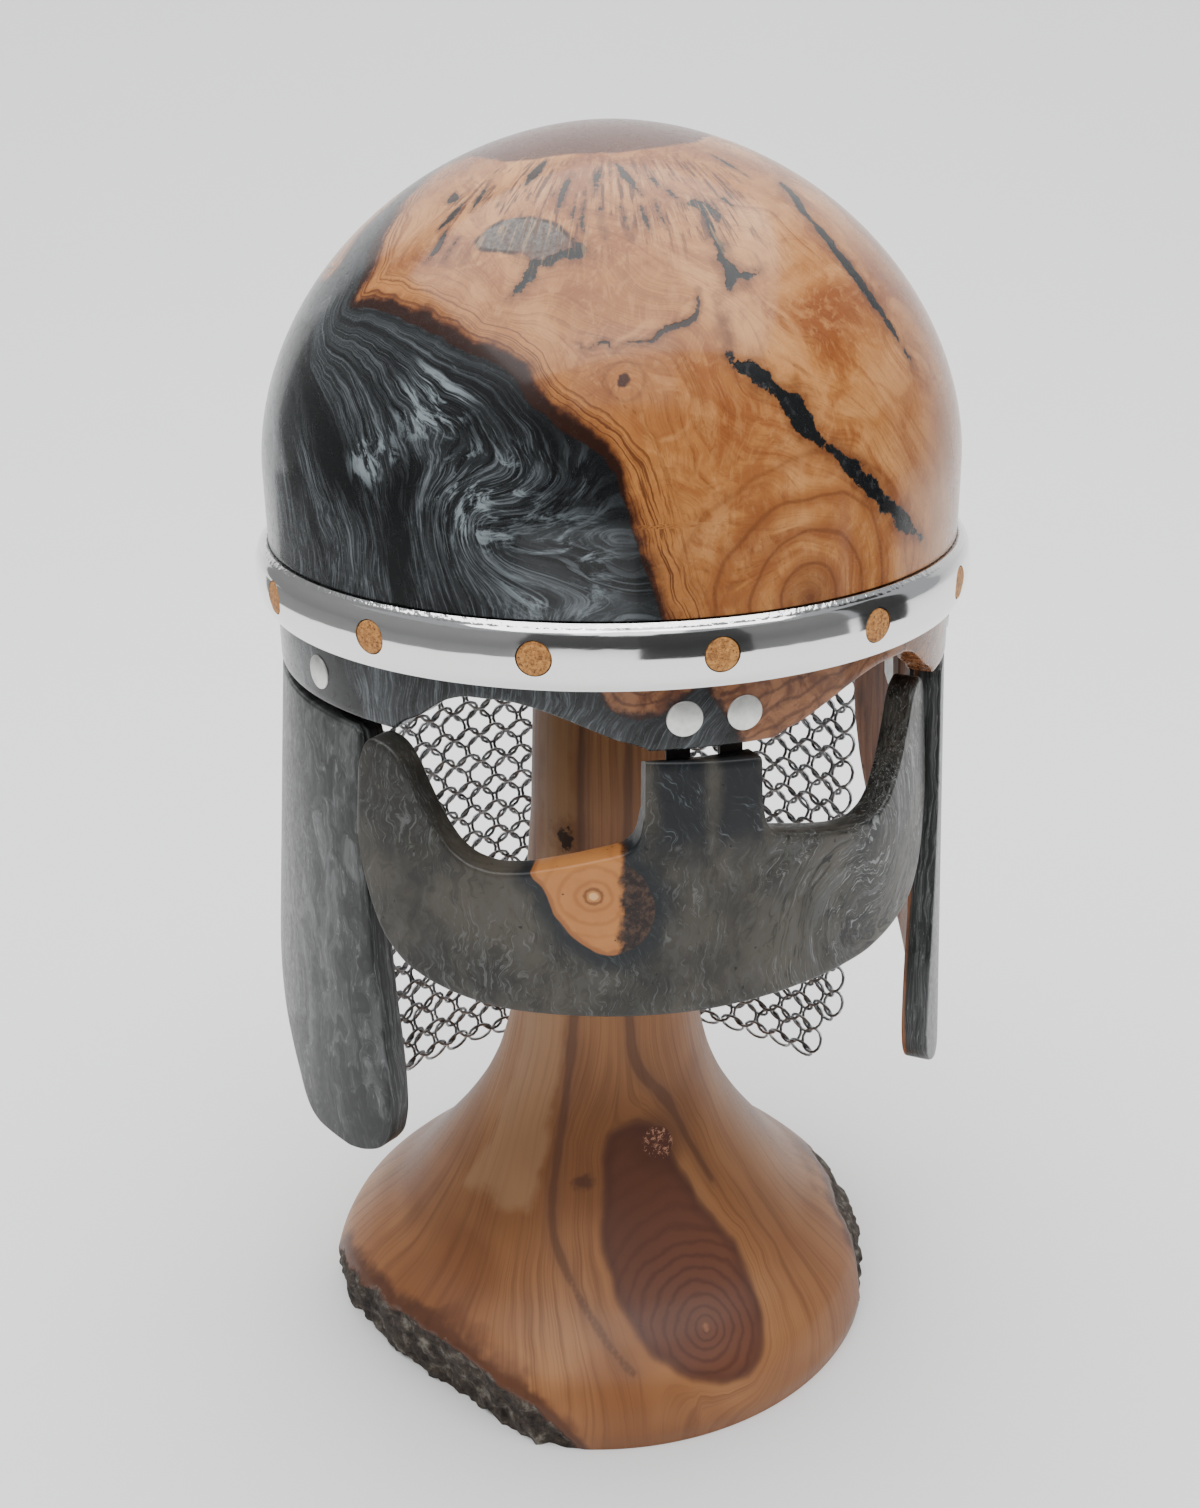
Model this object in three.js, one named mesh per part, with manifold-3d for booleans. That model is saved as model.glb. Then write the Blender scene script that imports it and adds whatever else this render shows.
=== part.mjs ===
// Gladiator helmet on its turned wooden stand.
// Millimetres, +Z up, the helmet faces -Y and the origin is on the floor under its axis.
import * as THREE from 'three';
import Module from 'manifold-3d';

// Clearances
const GAP = 0.3;
const PIN_CLEARANCE = 0.3;

// Heights of the helmet above the floor
const BAND_HEIGHT = 293;
const RIM_DROP = 30;
const RIM_Z = BAND_HEIGHT - RIM_DROP;

// Helmet shell
const SHELL_RADIUS = 113.8;
const SHELL_WALL = 9;
const BAND_SEAT_STEP = 1.5;
const BELOW_BAND_RADIUS = SHELL_RADIUS - BAND_SEAT_STEP;
const STRAIGHT_HEIGHT = 32;
const DOME_RISE = 104;
const DOME_POWER = 1.9;
const DOME_RINGS = 9;
const SHELL_SEGMENTS = 64;
const RIM_BEVEL = 1;

// Polished band and its round inlays
const BAND_PROUD = 4.7;
const BAND_RADIUS = SHELL_RADIUS + BAND_PROUD;
const BAND_TOP = 9.6;
const BAND_BOTTOM = 10;
const BAND_SEGMENTS = 56;
const INLAY_COUNT = 14;
const INLAY_RADIUS = 5;
const INLAY_DEPTH = 2.4;
const INLAY_SIDES = 12;

// Eye arches cut up into the rim, angle from the front and height above the rim
const EYE_ARCH_START = 8.4;
const EYE_ARCH_END = 51.4;
const EYE_ARCH_HEIGHT = 14.4;
const EYE_ARCH_SHAPE = [
  { across: 0, up: -0.14 },
  { across: 0.06, up: 0.09 },
  { across: 0.14, up: 0.24 },
  { across: 0.24, up: 0.49 },
  { across: 0.34, up: 0.73 },
  { across: 0.44, up: 0.91 },
  { across: 0.54, up: 1 },
  { across: 0.66, up: 1 },
  { across: 0.74, up: 0.89 },
  { across: 0.8, up: 0.69 },
  { across: 0.87, up: 0.4 },
  { across: 0.94, up: 0.19 },
  { across: 1, up: -0.14 },
];

// Guards cut from one flared ring
const GUARD_WALL = 9;
const GUARD_BEVEL = 0.9;

// Face guard, angles from its own middle and depths under the band's middle
const FACE_SET_BACK = 0.8;
const FACE_RADIUS = BELOW_BAND_RADIUS - FACE_SET_BACK;
const FACE_FLARE = 0.1;
const FACE_SHIFT_X = -4;
const FACE_SHIFT_Y = -1.7;
const FACE_PITCH = 3.6;
const FACE_YAW = 1.2;
const FACE_PIVOT_Y = -(FACE_RADIUS - 1.5);
const STUB_HALF_ANGLE = 9.2;
const STUB_SHIFT = 0.9;
const STUB_SHIFT_REACH = 22;
// The stub's top is cut aslant: lower to the wearer's left, and lower behind on the right
const STUB_TOP_DEPTH = 33.8;
const STUB_TOP_SLANT = 1.5;
const STUB_BACK_DROP = 1.9;
const STUB_BACK_SLANT = 1.4;
const FACE_HALF_ANGLE = 55.4;
const FACE_DEPTH = 113.6;
const FACE_TOP_EDGE = [
  { across: 0.168, down: 0.436 },
  { across: 0.179, down: 0.489 },
  { across: 0.197, down: 0.517 },
  { across: 0.224, down: 0.533 },
  { across: 0.29, down: 0.549 },
  { across: 0.4, down: 0.575 },
  { across: 0.484, down: 0.593 },
  { across: 0.56, down: 0.6 },
  { across: 0.623, down: 0.59 },
  { across: 0.677, down: 0.563 },
  { across: 0.726, down: 0.515 },
  { across: 0.773, down: 0.453 },
  { across: 0.812, down: 0.396 },
  { across: 0.857, down: 0.336 },
  { across: 0.893, down: 0.314 },
  { across: 0.935, down: 0.307 },
  { across: 0.965, down: 0.316 },
  { across: 1, down: 0.4 },
];
const FACE_BOTTOM_EDGE = [
  { across: 0, down: 1 },
  { across: 0.16, down: 0.998 },
  { across: 0.36, down: 0.994 },
  { across: 0.523, down: 0.99 },
  { across: 0.623, down: 0.977 },
  { across: 0.722, down: 0.955 },
  { across: 0.81, down: 0.922 },
  { across: 0.857, down: 0.886 },
  { across: 0.9, down: 0.836 },
  { across: 0.948, down: 0.74 },
  { across: 0.984, down: 0.628 },
  { across: 1, down: 0.54 },
];
const FACE_STATION_STEP = 2;

// Cheek guards, angles from the front and depths under the band's middle
const CHEEK_SET_BACK = 0.3;
const CHEEK_RADIUS = BELOW_BAND_RADIUS - CHEEK_SET_BACK;
const CHEEK_FLARE = 0.0625;
const CHEEK_LEAN = 1.4;
const CHEEK_PIVOT_X = CHEEK_RADIUS - 4;
const CHEEK_FRONT_ANGLE = 57.4;
const CHEEK_REAR_ANGLE = 105;
const CHEEK_TOP_DEPTH = 32.8;
const CHEEK_BOTTOM_DEPTH = 179;
const CHEEK_SEGMENTS = 9;
const CHEEK_OUTLINE = [
  { down: 0, front: 0.04, rear: 0.97 },
  { down: 0.012, front: 0.01, rear: 0.99 },
  { down: 0.035, front: 0, rear: 1 },
  { down: 0.16, front: -0.006, rear: 1 },
  { down: 0.29, front: -0.015, rear: 0.995 },
  { down: 0.42, front: -0.04, rear: 0.96 },
  { down: 0.53, front: -0.066, rear: 0.9 },
  { down: 0.62, front: -0.09, rear: 0.83 },
  { down: 0.71, front: -0.118, rear: 0.73 },
  { down: 0.8, front: -0.139, rear: 0.6 },
  { down: 0.87, front: -0.147, rear: 0.48 },
  { down: 0.92, front: -0.137, rear: 0.4 },
  { down: 0.96, front: -0.1, rear: 0.345 },
  { down: 0.985, front: -0.03, rear: 0.29 },
  { down: 1, front: 0.06, rear: 0.2 },
];

// Leather straps that carry the guards, and the light bar beside each cheek strap
const STRAP_THICKNESS = 2;
const STRAP_TOP_DEPTH = 9;
const NASAL_STRAP_ANGLE = 4.6;
const NASAL_STRAP_WIDTH = 7.2;
const NASAL_STRAP_DEPTH = 72;
const CHEEK_STRAP_ANGLE = 68.6;
const CHEEK_STRAP_WIDTH = 12;
const CHEEK_STRAP_DEPTH = 55;
const CHEEK_BAR_ANGLE = 88;
const CHEEK_BAR_WIDTH = 8.5;
const CHEEK_BAR_DEPTH = 59;
const STRAP_STEPS = 8;
const GUARD_TOP_DROP = 2.2;

// Rivets with a flat disc outside and a small head inside
const RIVET_RADIUS = 5.4;
const RIVET_PROUD = 0.5;
const RIVET_SEAT = 1.2;
const RIVET_SHANK_RADIUS = 2;
const RIVET_HEAD_RADIUS = 3.4;
const RIVET_HEAD_THICKNESS = 1;
const RIVET_DEPTH = 20.4;
const RIVET_SIDES = 14;

// Mail curtain behind the head
const MAIL_START_ANGLE = 107;
const MAIL_SET_BACK = 0.1;
const MAIL_OUTER_RADIUS = BELOW_BAND_RADIUS - MAIL_SET_BACK;
const MAIL_THICKNESS = 4.4;
const MAIL_BOTTOM_DEPTH = 247;
const MAIL_CORNER_ANGLE = 12;
const MAIL_CORNER_RISE = 42;
const MAIL_STEPS = 26;

// Stand with a flared foot
const FOOT_RADIUS = 104;
const POST_RADIUS = 26.6;
const STAND_LEAN_X = -7.7;
const STAND_LEAN_Y = 2.1;
const STAND_LEAN_TOP = 280;
const FLARE_HEIGHT = 200;
const STAND_SIDES = 40;
const BARK_BATTER = 0.16;
const STAND_FLARE = [
  { up: 0, out: 0.99 },
  { up: 0.03, out: 1 },
  { up: 0.06, out: 0.985 },
  { up: 0.1, out: 0.94 },
  { up: 0.15, out: 0.82 },
  { up: 0.2, out: 0.665 },
  { up: 0.275, out: 0.495 },
  { up: 0.35, out: 0.35 },
  { up: 0.425, out: 0.235 },
  { up: 0.5, out: 0.158 },
  { up: 0.6, out: 0.1 },
  { up: 0.75, out: 0.055 },
  { up: 1, out: 0.013 },
];
const POST_TOP_SHAPE = [
  { out: 1, below: 0.6 },
  { out: 0.95, below: 0.33 },
  { out: 0.82, below: 0.19 },
  { out: 0.6, below: 0.1 },
  { out: 0.3, below: 0.035 },
  { out: 0, below: 0 },
];
// Live edges of the foot, angle from the front and radius as a share of the foot's
const FOOT_EDGE = [
  { angle: -122, share: 1.12 },
  { angle: -104, share: 0.99 },
  { angle: -91, share: 0.955 },
  { angle: -75, share: 0.9 },
  { angle: -56, share: 0.873 },
  { angle: -45, share: 0.883 },
  { angle: -37, share: 0.925 },
  { angle: -28, share: 0.985 },
  { angle: -16, share: 1.12 },
  { angle: 52, share: 1.12 },
  { angle: 62, share: 0.99 },
  { angle: 73, share: 0.965 },
  { angle: 84, share: 0.99 },
  { angle: 96, share: 0.965 },
  { angle: 108, share: 0.985 },
  { angle: 124, share: 1.12 },
  { angle: 238, share: 1.12 },
];

const wasm = await Module();
wasm.setup();
const { Manifold, Mesh: SolidMesh } = wasm;

const rad = (degrees) => (degrees * Math.PI) / 180;

// Point at an angle from the front, a radius and a height
function polar(angle, radius, z) {
  const t = rad(angle);
  return [radius * Math.sin(t), -radius * Math.cos(t), z];
}

// Smooth value from a table, keeping the table's own highs and lows
function tableValue(rows, key, value, x) {
  const last = rows.length - 1;
  if (x <= rows[0][key]) return rows[0][value];
  if (x >= rows[last][key]) return rows[last][value];
  let k = 0;
  while (rows[k + 1][key] < x) k += 1;
  const slope = (i) => (rows[i + 1][value] - rows[i][value]) / (rows[i + 1][key] - rows[i][key]);
  const tangent = (i) => {
    if (i === 0) return slope(0);
    if (i === last) return slope(last - 1);
    const before = slope(i - 1);
    const after = slope(i);
    if (before * after <= 0) return 0;
    return (2 * before * after) / (before + after);
  };
  const span = rows[k + 1][key] - rows[k][key];
  const s = (x - rows[k][key]) / span;
  const low = rows[k][value];
  const high = rows[k + 1][value];
  const rise = (s * s * (3 - 2 * s)) * (high - low);
  const bend = s * (1 - s) * ((1 - s) * tangent(k) - s * tangent(k + 1)) * span;
  return low + rise + bend;
}

// Closed solid through a row of sections, each { points, flat } with the same count
function loft(sections) {
  const count = sections[0].points.length;
  const positions = [];
  const triangles = [];
  for (const section of sections) {
    for (const point of section.points) positions.push(...point);
  }
  for (let k = 0; k + 1 < sections.length; k += 1) {
    for (let i = 0; i < count; i += 1) {
      const a = k * count + i;
      const b = k * count + ((i + 1) % count);
      triangles.push(a, b, b + count, a, b + count, a + count);
    }
  }
  const area = (q) => {
    let sum = 0;
    for (let i = 0; i < q.length; i += 1) {
      const r = q[(i + 1) % q.length];
      sum += q[i].x * r.y - r.x * q[i].y;
    }
    return sum;
  };
  const addCap = (section, start, forward) => {
    const contour = section.flat.map((q) => new THREE.Vector2(q[0], q[1]));
    const faces = THREE.ShapeUtils.triangulateShape(contour, []);
    for (const face of faces) {
      const turned = area(face.map((i) => contour[i])) * area(contour) > 0;
      const same = turned === forward;
      const order = same ? face : [face[0], face[2], face[1]];
      triangles.push(start + order[0], start + order[1], start + order[2]);
    }
  };
  addCap(sections[0], 0, false);
  addCap(sections[sections.length - 1], (sections.length - 1) * count, true);
  return solidFrom(positions, triangles);
}

// Solid of rings of points about an upright line, closed by a flat foot and a top point
function ringStack(rings, topPoint) {
  const count = rings[0].length;
  const positions = [];
  const triangles = [];
  for (const ring of rings) {
    for (const point of ring) positions.push(...point);
  }
  for (let k = 0; k + 1 < rings.length; k += 1) {
    for (let i = 0; i < count; i += 1) {
      const a = k * count + i;
      const b = k * count + ((i + 1) % count);
      triangles.push(a, b, b + count, a, b + count, a + count);
    }
  }
  const top = positions.length / 3;
  positions.push(...topPoint);
  const foot = top + 1;
  const middle = [0, 0, rings[0][0][2]];
  for (const point of rings[0]) {
    middle[0] += point[0] / count;
    middle[1] += point[1] / count;
  }
  positions.push(...middle);
  for (let i = 0; i < count; i += 1) {
    const j = (i + 1) % count;
    triangles.push((rings.length - 1) * count + i, (rings.length - 1) * count + j, top);
    triangles.push(j, i, foot);
  }
  return solidFrom(positions, triangles);
}

function signedVolume(positions, triangles) {
  let sum = 0;
  for (let i = 0; i < triangles.length; i += 3) {
    const a = new THREE.Vector3().fromArray(positions, triangles[i] * 3);
    const b = new THREE.Vector3().fromArray(positions, triangles[i + 1] * 3);
    const c = new THREE.Vector3().fromArray(positions, triangles[i + 2] * 3);
    sum += a.dot(b.cross(c));
  }
  return sum / 6;
}

function solidFrom(positions, triangles) {
  const facing = triangles.slice();
  if (signedVolume(positions, triangles) < 0) {
    for (let i = 0; i < facing.length; i += 3) {
      const swap = facing[i + 1];
      facing[i + 1] = facing[i + 2];
      facing[i + 2] = swap;
    }
  }
  const mesh = new SolidMesh({
    numProp: 3,
    vertProperties: new Float32Array(positions),
    triVerts: new Uint32Array(facing),
  });
  return new Manifold(mesh);
}

// Solid turned about the upright axis from a closed profile of [radius, z] corners
function turned(profile, segments) {
  const positions = [];
  const triangles = [];
  const indexAt = [];
  for (let s = 0; s < segments; s += 1) {
    const angle = (360 * s) / segments;
    profile.forEach(([radius, z], i) => {
      if (radius === 0 && s > 0) {
        indexAt.push(indexAt[i]);
        return;
      }
      indexAt.push(positions.length / 3);
      positions.push(...polar(angle, radius, z));
    });
  }
  const count = profile.length;
  for (let s = 0; s < segments; s += 1) {
    const next = (s + 1) % segments;
    for (let i = 0; i < count; i += 1) {
      const j = (i + 1) % count;
      const a = indexAt[s * count + i];
      const b = indexAt[s * count + j];
      const c = indexAt[next * count + j];
      const d = indexAt[next * count + i];
      if (a !== b && b !== c && a !== c) triangles.push(a, b, c);
      if (a !== c && c !== d && a !== d) triangles.push(a, c, d);
    }
  }
  return solidFrom(positions, triangles);
}

// Round solid along a radial line, from a profile of { out, radius } rows
function radialRound(angle, z, rows, sides) {
  const sections = rows.map(({ out, radius }) => {
    const points = [];
    const flat = [];
    const middle = new THREE.Vector3(...polar(angle, out, z));
    const side = new THREE.Vector3(...polar(angle + 90, 1, 0));
    for (let i = 0; i < sides; i += 1) {
      const turn = (2 * Math.PI * (i + 0.5)) / sides;
      const u = radius * Math.cos(turn);
      const v = radius * Math.sin(turn);
      points.push(middle.clone().addScaledVector(side, u).add(new THREE.Vector3(0, 0, v)).toArray());
      flat.push([u, v]);
    }
    return { points, flat };
  });
  return loft(sections);
}

// Section of a curved wall in one upright plane, with bevelled corners
function wallSection(angle, radiusAt, wall, low, high, bevel, backDrop) {
  const flat = [
    [radiusAt(low) - bevel, low],
    [radiusAt(low + bevel), low + bevel],
    [radiusAt(high - bevel), high - bevel],
    [radiusAt(high) - bevel, high],
    [radiusAt(high) - wall + bevel, high - backDrop],
    [radiusAt(high - bevel) - wall, high - bevel - backDrop],
    [radiusAt(low + bevel) - wall, low + bevel],
    [radiusAt(low) - wall + bevel, low],
  ];
  return { points: flat.map(([radius, z]) => polar(angle, radius, z)), flat };
}

// Level section of a curved wall between two angles, with bevelled corners
function levelSection(from, to, outer, wall, z, segments, bevel) {
  const tilt = THREE.MathUtils.radToDeg(bevel / outer);
  const points = [];
  points.push(polar(from, outer - bevel, z));
  for (let i = 0; i <= segments; i += 1) {
    const angle = from + tilt + ((to - from - 2 * tilt) * i) / segments;
    points.push(polar(angle, outer, z));
  }
  points.push(polar(to, outer - bevel, z));
  points.push(polar(to, outer - wall + bevel, z));
  for (let i = segments; i >= 0; i -= 1) {
    const angle = from + tilt + ((to - from - 2 * tilt) * i) / segments;
    points.push(polar(angle, outer - wall, z));
  }
  points.push(polar(from, outer - wall + bevel, z));
  return { points, flat: points.map((p) => [p[0], p[1]]) };
}

// Dome height of a wall of a given radius and rise, above the band's middle
function domeProfile(radius, rise, rings) {
  const rows = [];
  for (let i = 0; i <= rings; i += 1) {
    const turn = (Math.PI / 2) * (i / rings);
    const share = Math.cos(turn) ** (2 / DOME_POWER);
    const height = Math.sin(turn) ** (2 / DOME_POWER);
    const out = i === rings ? 0 : radius * share;
    rows.push([out, BAND_HEIGHT + STRAIGHT_HEIGHT + rise * height]);
  }
  return rows;
}

const INNER_RADIUS = BELOW_BAND_RADIUS - SHELL_WALL;
const INNER_RISE = DOME_RISE - SHELL_WALL;
const DOME_INSIDE_TOP = BAND_HEIGHT + STRAIGHT_HEIGHT + INNER_RISE;

function eyeArchCutter(side) {
  const span = EYE_ARCH_END - EYE_ARCH_START;
  const inside = INNER_RADIUS - 4;
  const outside = BELOW_BAND_RADIUS + 4;
  const sections = EYE_ARCH_SHAPE.map(({ across, up }) => {
    const angle = side * (EYE_ARCH_START + across * span);
    const top = RIM_Z + up * EYE_ARCH_HEIGHT;
    const low = RIM_Z - EYE_ARCH_HEIGHT;
    const flat = [[inside, low], [outside, low], [outside, top], [inside, top]];
    return { points: flat.map(([radius, z]) => polar(angle, radius, z)), flat };
  });
  return loft(sections);
}

const RIVETS = [
  { name: 'nasal_rivet_right', angle: -NASAL_STRAP_ANGLE },
  { name: 'nasal_rivet_left', angle: NASAL_STRAP_ANGLE },
  { name: 'cheek_rivet_right', angle: -CHEEK_STRAP_ANGLE },
  { name: 'cheek_rivet_left', angle: CHEEK_STRAP_ANGLE },
];
const RIVET_Z = BAND_HEIGHT - RIVET_DEPTH;
const STRAP_OUTER = INNER_RADIUS - GAP;

function shankHole(angle, fromRadius, toRadius) {
  const radius = RIVET_SHANK_RADIUS + PIN_CLEARANCE;
  return radialRound(angle, RIVET_Z, [{ out: fromRadius, radius }, { out: toRadius, radius }], 10);
}

function helmetShell() {
  const seatZ = BAND_HEIGHT + BAND_TOP + GAP;
  const profile = [
    [BELOW_BAND_RADIUS - RIM_BEVEL, RIM_Z],
    [BELOW_BAND_RADIUS, RIM_Z + RIM_BEVEL],
    [BELOW_BAND_RADIUS, seatZ],
    [SHELL_RADIUS, seatZ],
    ...domeProfile(SHELL_RADIUS, DOME_RISE, DOME_RINGS),
    ...domeProfile(INNER_RADIUS, INNER_RISE, DOME_RINGS - 1).reverse(),
    [INNER_RADIUS, RIM_Z + RIM_BEVEL],
    [INNER_RADIUS + RIM_BEVEL, RIM_Z],
  ];
  let shell = turned(profile, SHELL_SEGMENTS);
  shell = shell.subtract(eyeArchCutter(1)).subtract(eyeArchCutter(-1));
  const seatFloor = BELOW_BAND_RADIUS - RIVET_SEAT;
  for (const { angle } of RIVETS) {
    const radius = RIVET_RADIUS + PIN_CLEARANCE;
    const seat = [{ out: seatFloor, radius }, { out: SHELL_RADIUS + 1, radius }];
    shell = shell.subtract(radialRound(angle, RIVET_Z, seat, RIVET_SIDES));
    shell = shell.subtract(shankHole(angle, INNER_RADIUS - 2, SHELL_RADIUS));
  }
  return shell;
}

function rivet(angle) {
  const seatFloor = BELOW_BAND_RADIUS - RIVET_SEAT + GAP;
  const strapInside = STRAP_OUTER - STRAP_THICKNESS;
  const headInside = strapInside - GAP - RIVET_HEAD_THICKNESS;
  const face = BELOW_BAND_RADIUS + RIVET_PROUD;
  const rows = [
    { out: headInside, radius: RIVET_HEAD_RADIUS },
    { out: strapInside - GAP, radius: RIVET_HEAD_RADIUS },
    { out: strapInside - GAP + 0.01, radius: RIVET_SHANK_RADIUS },
    { out: seatFloor - 0.01, radius: RIVET_SHANK_RADIUS },
    { out: seatFloor, radius: RIVET_RADIUS },
    { out: face - 0.4, radius: RIVET_RADIUS },
    { out: face, radius: RIVET_RADIUS - 0.4 },
  ];
  return radialRound(angle, RIVET_Z, rows, RIVET_SIDES);
}

// Outer face of the band by height above its middle
const BAND_PROFILE = [
  { up: -1, in: 2.5 },
  { up: -0.66, in: 0.9 },
  { up: -0.3, in: 0.25 },
  { up: 0.05, in: 0 },
  { up: 0.45, in: 0.3 },
  { up: 0.74, in: 1.3 },
  { up: 1, in: 3.5 },
];

function bandRing() {
  const inside = BELOW_BAND_RADIUS + GAP;
  const heightAt = (up) => BAND_HEIGHT + (up < 0 ? up * BAND_BOTTOM : up * BAND_TOP);
  const profile = [[inside, heightAt(-1)]];
  for (const row of BAND_PROFILE) profile.push([BAND_RADIUS - row.in, heightAt(row.up)]);
  profile.push([inside, heightAt(1)]);
  let band = turned(profile, BAND_SEGMENTS);
  for (let i = 0; i < INLAY_COUNT; i += 1) {
    const radius = INLAY_RADIUS + GAP;
    const rows = [{ out: BAND_RADIUS - INLAY_DEPTH - GAP, radius }, { out: BAND_RADIUS + 2, radius }];
    band = band.subtract(radialRound((360 * i) / INLAY_COUNT, BAND_HEIGHT, rows, INLAY_SIDES));
  }
  return band;
}

function inlay(index) {
  const rows = [
    { out: BAND_RADIUS - INLAY_DEPTH, radius: INLAY_RADIUS },
    { out: BAND_RADIUS - 0.2, radius: INLAY_RADIUS },
  ];
  return radialRound((360 * index) / INLAY_COUNT, BAND_HEIGHT, rows, INLAY_SIDES);
}

// Outer radius of the two kinds of guard by height
const faceRadiusAt = (z) => FACE_RADIUS + FACE_FLARE * (RIM_Z - z);
const cheekRadiusAt = (z) => CHEEK_RADIUS + CHEEK_FLARE * (RIM_Z - z);

// Place of a guard as it hangs: turned about a point on the rim, then moved
function hangPlace(pivot, turnDegrees, shift) {
  const order = new THREE.Euler(...turnDegrees.map(rad), 'ZYX');
  const place = new THREE.Matrix4().makeTranslation(...pivot.map((p, i) => p + shift[i]));
  place.multiply(new THREE.Matrix4().makeRotationFromEuler(order));
  place.multiply(new THREE.Matrix4().makeTranslation(...pivot.map((p) => -p)));
  return place;
}

const FACE_PLACE = hangPlace(
  [0, FACE_PIVOT_Y, RIM_Z],
  [FACE_PITCH, 0, FACE_YAW],
  [FACE_SHIFT_X, FACE_SHIFT_Y, 0],
);
// The cheek guards lean the same way, because they hang plumb from the tilted shell
const cheekPlace = (side) => hangPlace([side * CHEEK_PIVOT_X, 0, RIM_Z], [0, CHEEK_LEAN, 0], [0, 0, 0]);

// Radius of a hung guard's inner face at an angle and height
function insideOfHung(place, radiusAt, angle, z) {
  const back = place.clone().invert();
  let low = INNER_RADIUS * 0.8;
  let high = INNER_RADIUS * 1.3;
  for (let i = 0; i < 40; i += 1) {
    const middle = (low + high) / 2;
    const own = new THREE.Vector3(...polar(angle, middle, z)).applyMatrix4(back);
    if (Math.hypot(own.x, own.y) > radiusAt(own.z) - GUARD_WALL) high = middle;
    else low = middle;
  }
  return low;
}

function faceGuard() {
  const stubShare = STUB_HALF_ANGLE / FACE_HALF_ANGLE;
  const topAt = (share) => {
    return BAND_HEIGHT - FACE_DEPTH * tableValue(FACE_TOP_EDGE, 'across', 'down', share);
  };
  const bottomAt = (share) => {
    return BAND_HEIGHT - FACE_DEPTH * tableValue(FACE_BOTTOM_EDGE, 'across', 'down', share);
  };
  const shares = [];
  for (let a = 0; a < STUB_HALF_ANGLE - 1; a += FACE_STATION_STEP * 1.5) shares.push(a / FACE_HALF_ANGLE);
  shares.push(stubShare - 0.004, stubShare);
  for (let a = STUB_HALF_ANGLE; a < FACE_HALF_ANGLE - 1; a += FACE_STATION_STEP) {
    const share = a / FACE_HALF_ANGLE;
    if (share > stubShare) shares.push(share);
    const fillet = a < STUB_HALF_ANGLE + 2 * FACE_STATION_STEP;
    if (fillet) shares.push((a + FACE_STATION_STEP / 2) / FACE_HALF_ANGLE);
  }
  shares.push(0.985, 1);
  const signed = [...shares.slice(1).reverse().map((s) => -s), ...shares];
  const sections = signed.map((s) => {
    const share = Math.abs(s);
    const bevel = share > 0.99 ? GUARD_BEVEL * 2.4 : GUARD_BEVEL;
    const low = bottomAt(share);
    const onStub = share < stubShare - 1e-6;
    const slant = onStub ? s / stubShare : 0;
    const stubTop = BAND_HEIGHT - STUB_TOP_DEPTH - slant * STUB_TOP_SLANT;
    const backDrop = onStub ? STUB_BACK_DROP - slant * STUB_BACK_SLANT : 0;
    const top = onStub ? stubTop : topAt(share);
    const fade = Math.max(0, 1 - (share * FACE_HALF_ANGLE) / STUB_SHIFT_REACH);
    const angle = s * FACE_HALF_ANGLE + STUB_SHIFT * fade;
    return wallSection(angle, faceRadiusAt, GUARD_WALL, low, top, bevel, backDrop);
  });
  return loft(sections).transform(FACE_PLACE.elements);
}

function cheekGuard(side) {
  const span = CHEEK_REAR_ANGLE - CHEEK_FRONT_ANGLE;
  const depth = CHEEK_BOTTOM_DEPTH - CHEEK_TOP_DEPTH;
  const sections = [];
  CHEEK_OUTLINE.forEach(({ down, front, rear }, i) => {
    const z = BAND_HEIGHT - CHEEK_TOP_DEPTH - down * depth;
    const from = CHEEK_FRONT_ANGLE + front * span;
    const to = CHEEK_FRONT_ANGLE + rear * span;
    const edge = i === 0 || i === CHEEK_OUTLINE.length - 1;
    const inset = edge ? GUARD_BEVEL : 0;
    const outer = cheekRadiusAt(z) - inset;
    const wall = GUARD_WALL - 2 * inset;
    sections.push(levelSection(side * from, side * to, outer, wall, z, CHEEK_SEGMENTS, side * GUARD_BEVEL));
  });
  return loft(sections).transform(cheekPlace(side).elements);
}

// Strap down the inside of the shell and on down a guard's inner face
function strap({ angle, width, bottomDepth, place, radiusAt, roundEnd }) {
  const top = BAND_HEIGHT - STRAP_TOP_DEPTH;
  const bottom = BAND_HEIGHT - bottomDepth;
  const half = width / 2;
  const guardTop = RIM_Z - GUARD_TOP_DROP;
  const heights = [top, RIM_Z + RIM_BEVEL, guardTop];
  for (let i = 1; i <= STRAP_STEPS; i += 1) {
    heights.push(guardTop + ((bottom - guardTop) * i) / STRAP_STEPS);
  }
  const fullTurn = THREE.MathUtils.radToDeg(half / STRAP_OUTER);
  const sections = heights.map((z) => {
    const across = [-fullTurn, 0, fullTurn].map((t) => insideOfHung(place, radiusAt, angle + t, z));
    const outer = z > guardTop ? STRAP_OUTER : Math.min(...across) - GAP;
    const reach = half - (z - bottom);
    const round = roundEnd && reach > 0 ? Math.sqrt(Math.max(half * half - reach * reach, 0.8)) : half;
    const turn = THREE.MathUtils.radToDeg(round / outer);
    const points = [
      polar(angle - turn, outer, z),
      polar(angle + turn, outer, z),
      polar(angle + turn, outer - STRAP_THICKNESS, z),
      polar(angle - turn, outer - STRAP_THICKNESS, z),
    ];
    return { points, flat: points.map((p) => [p[0], p[1]]) };
  });
  return loft(sections);
}

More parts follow.
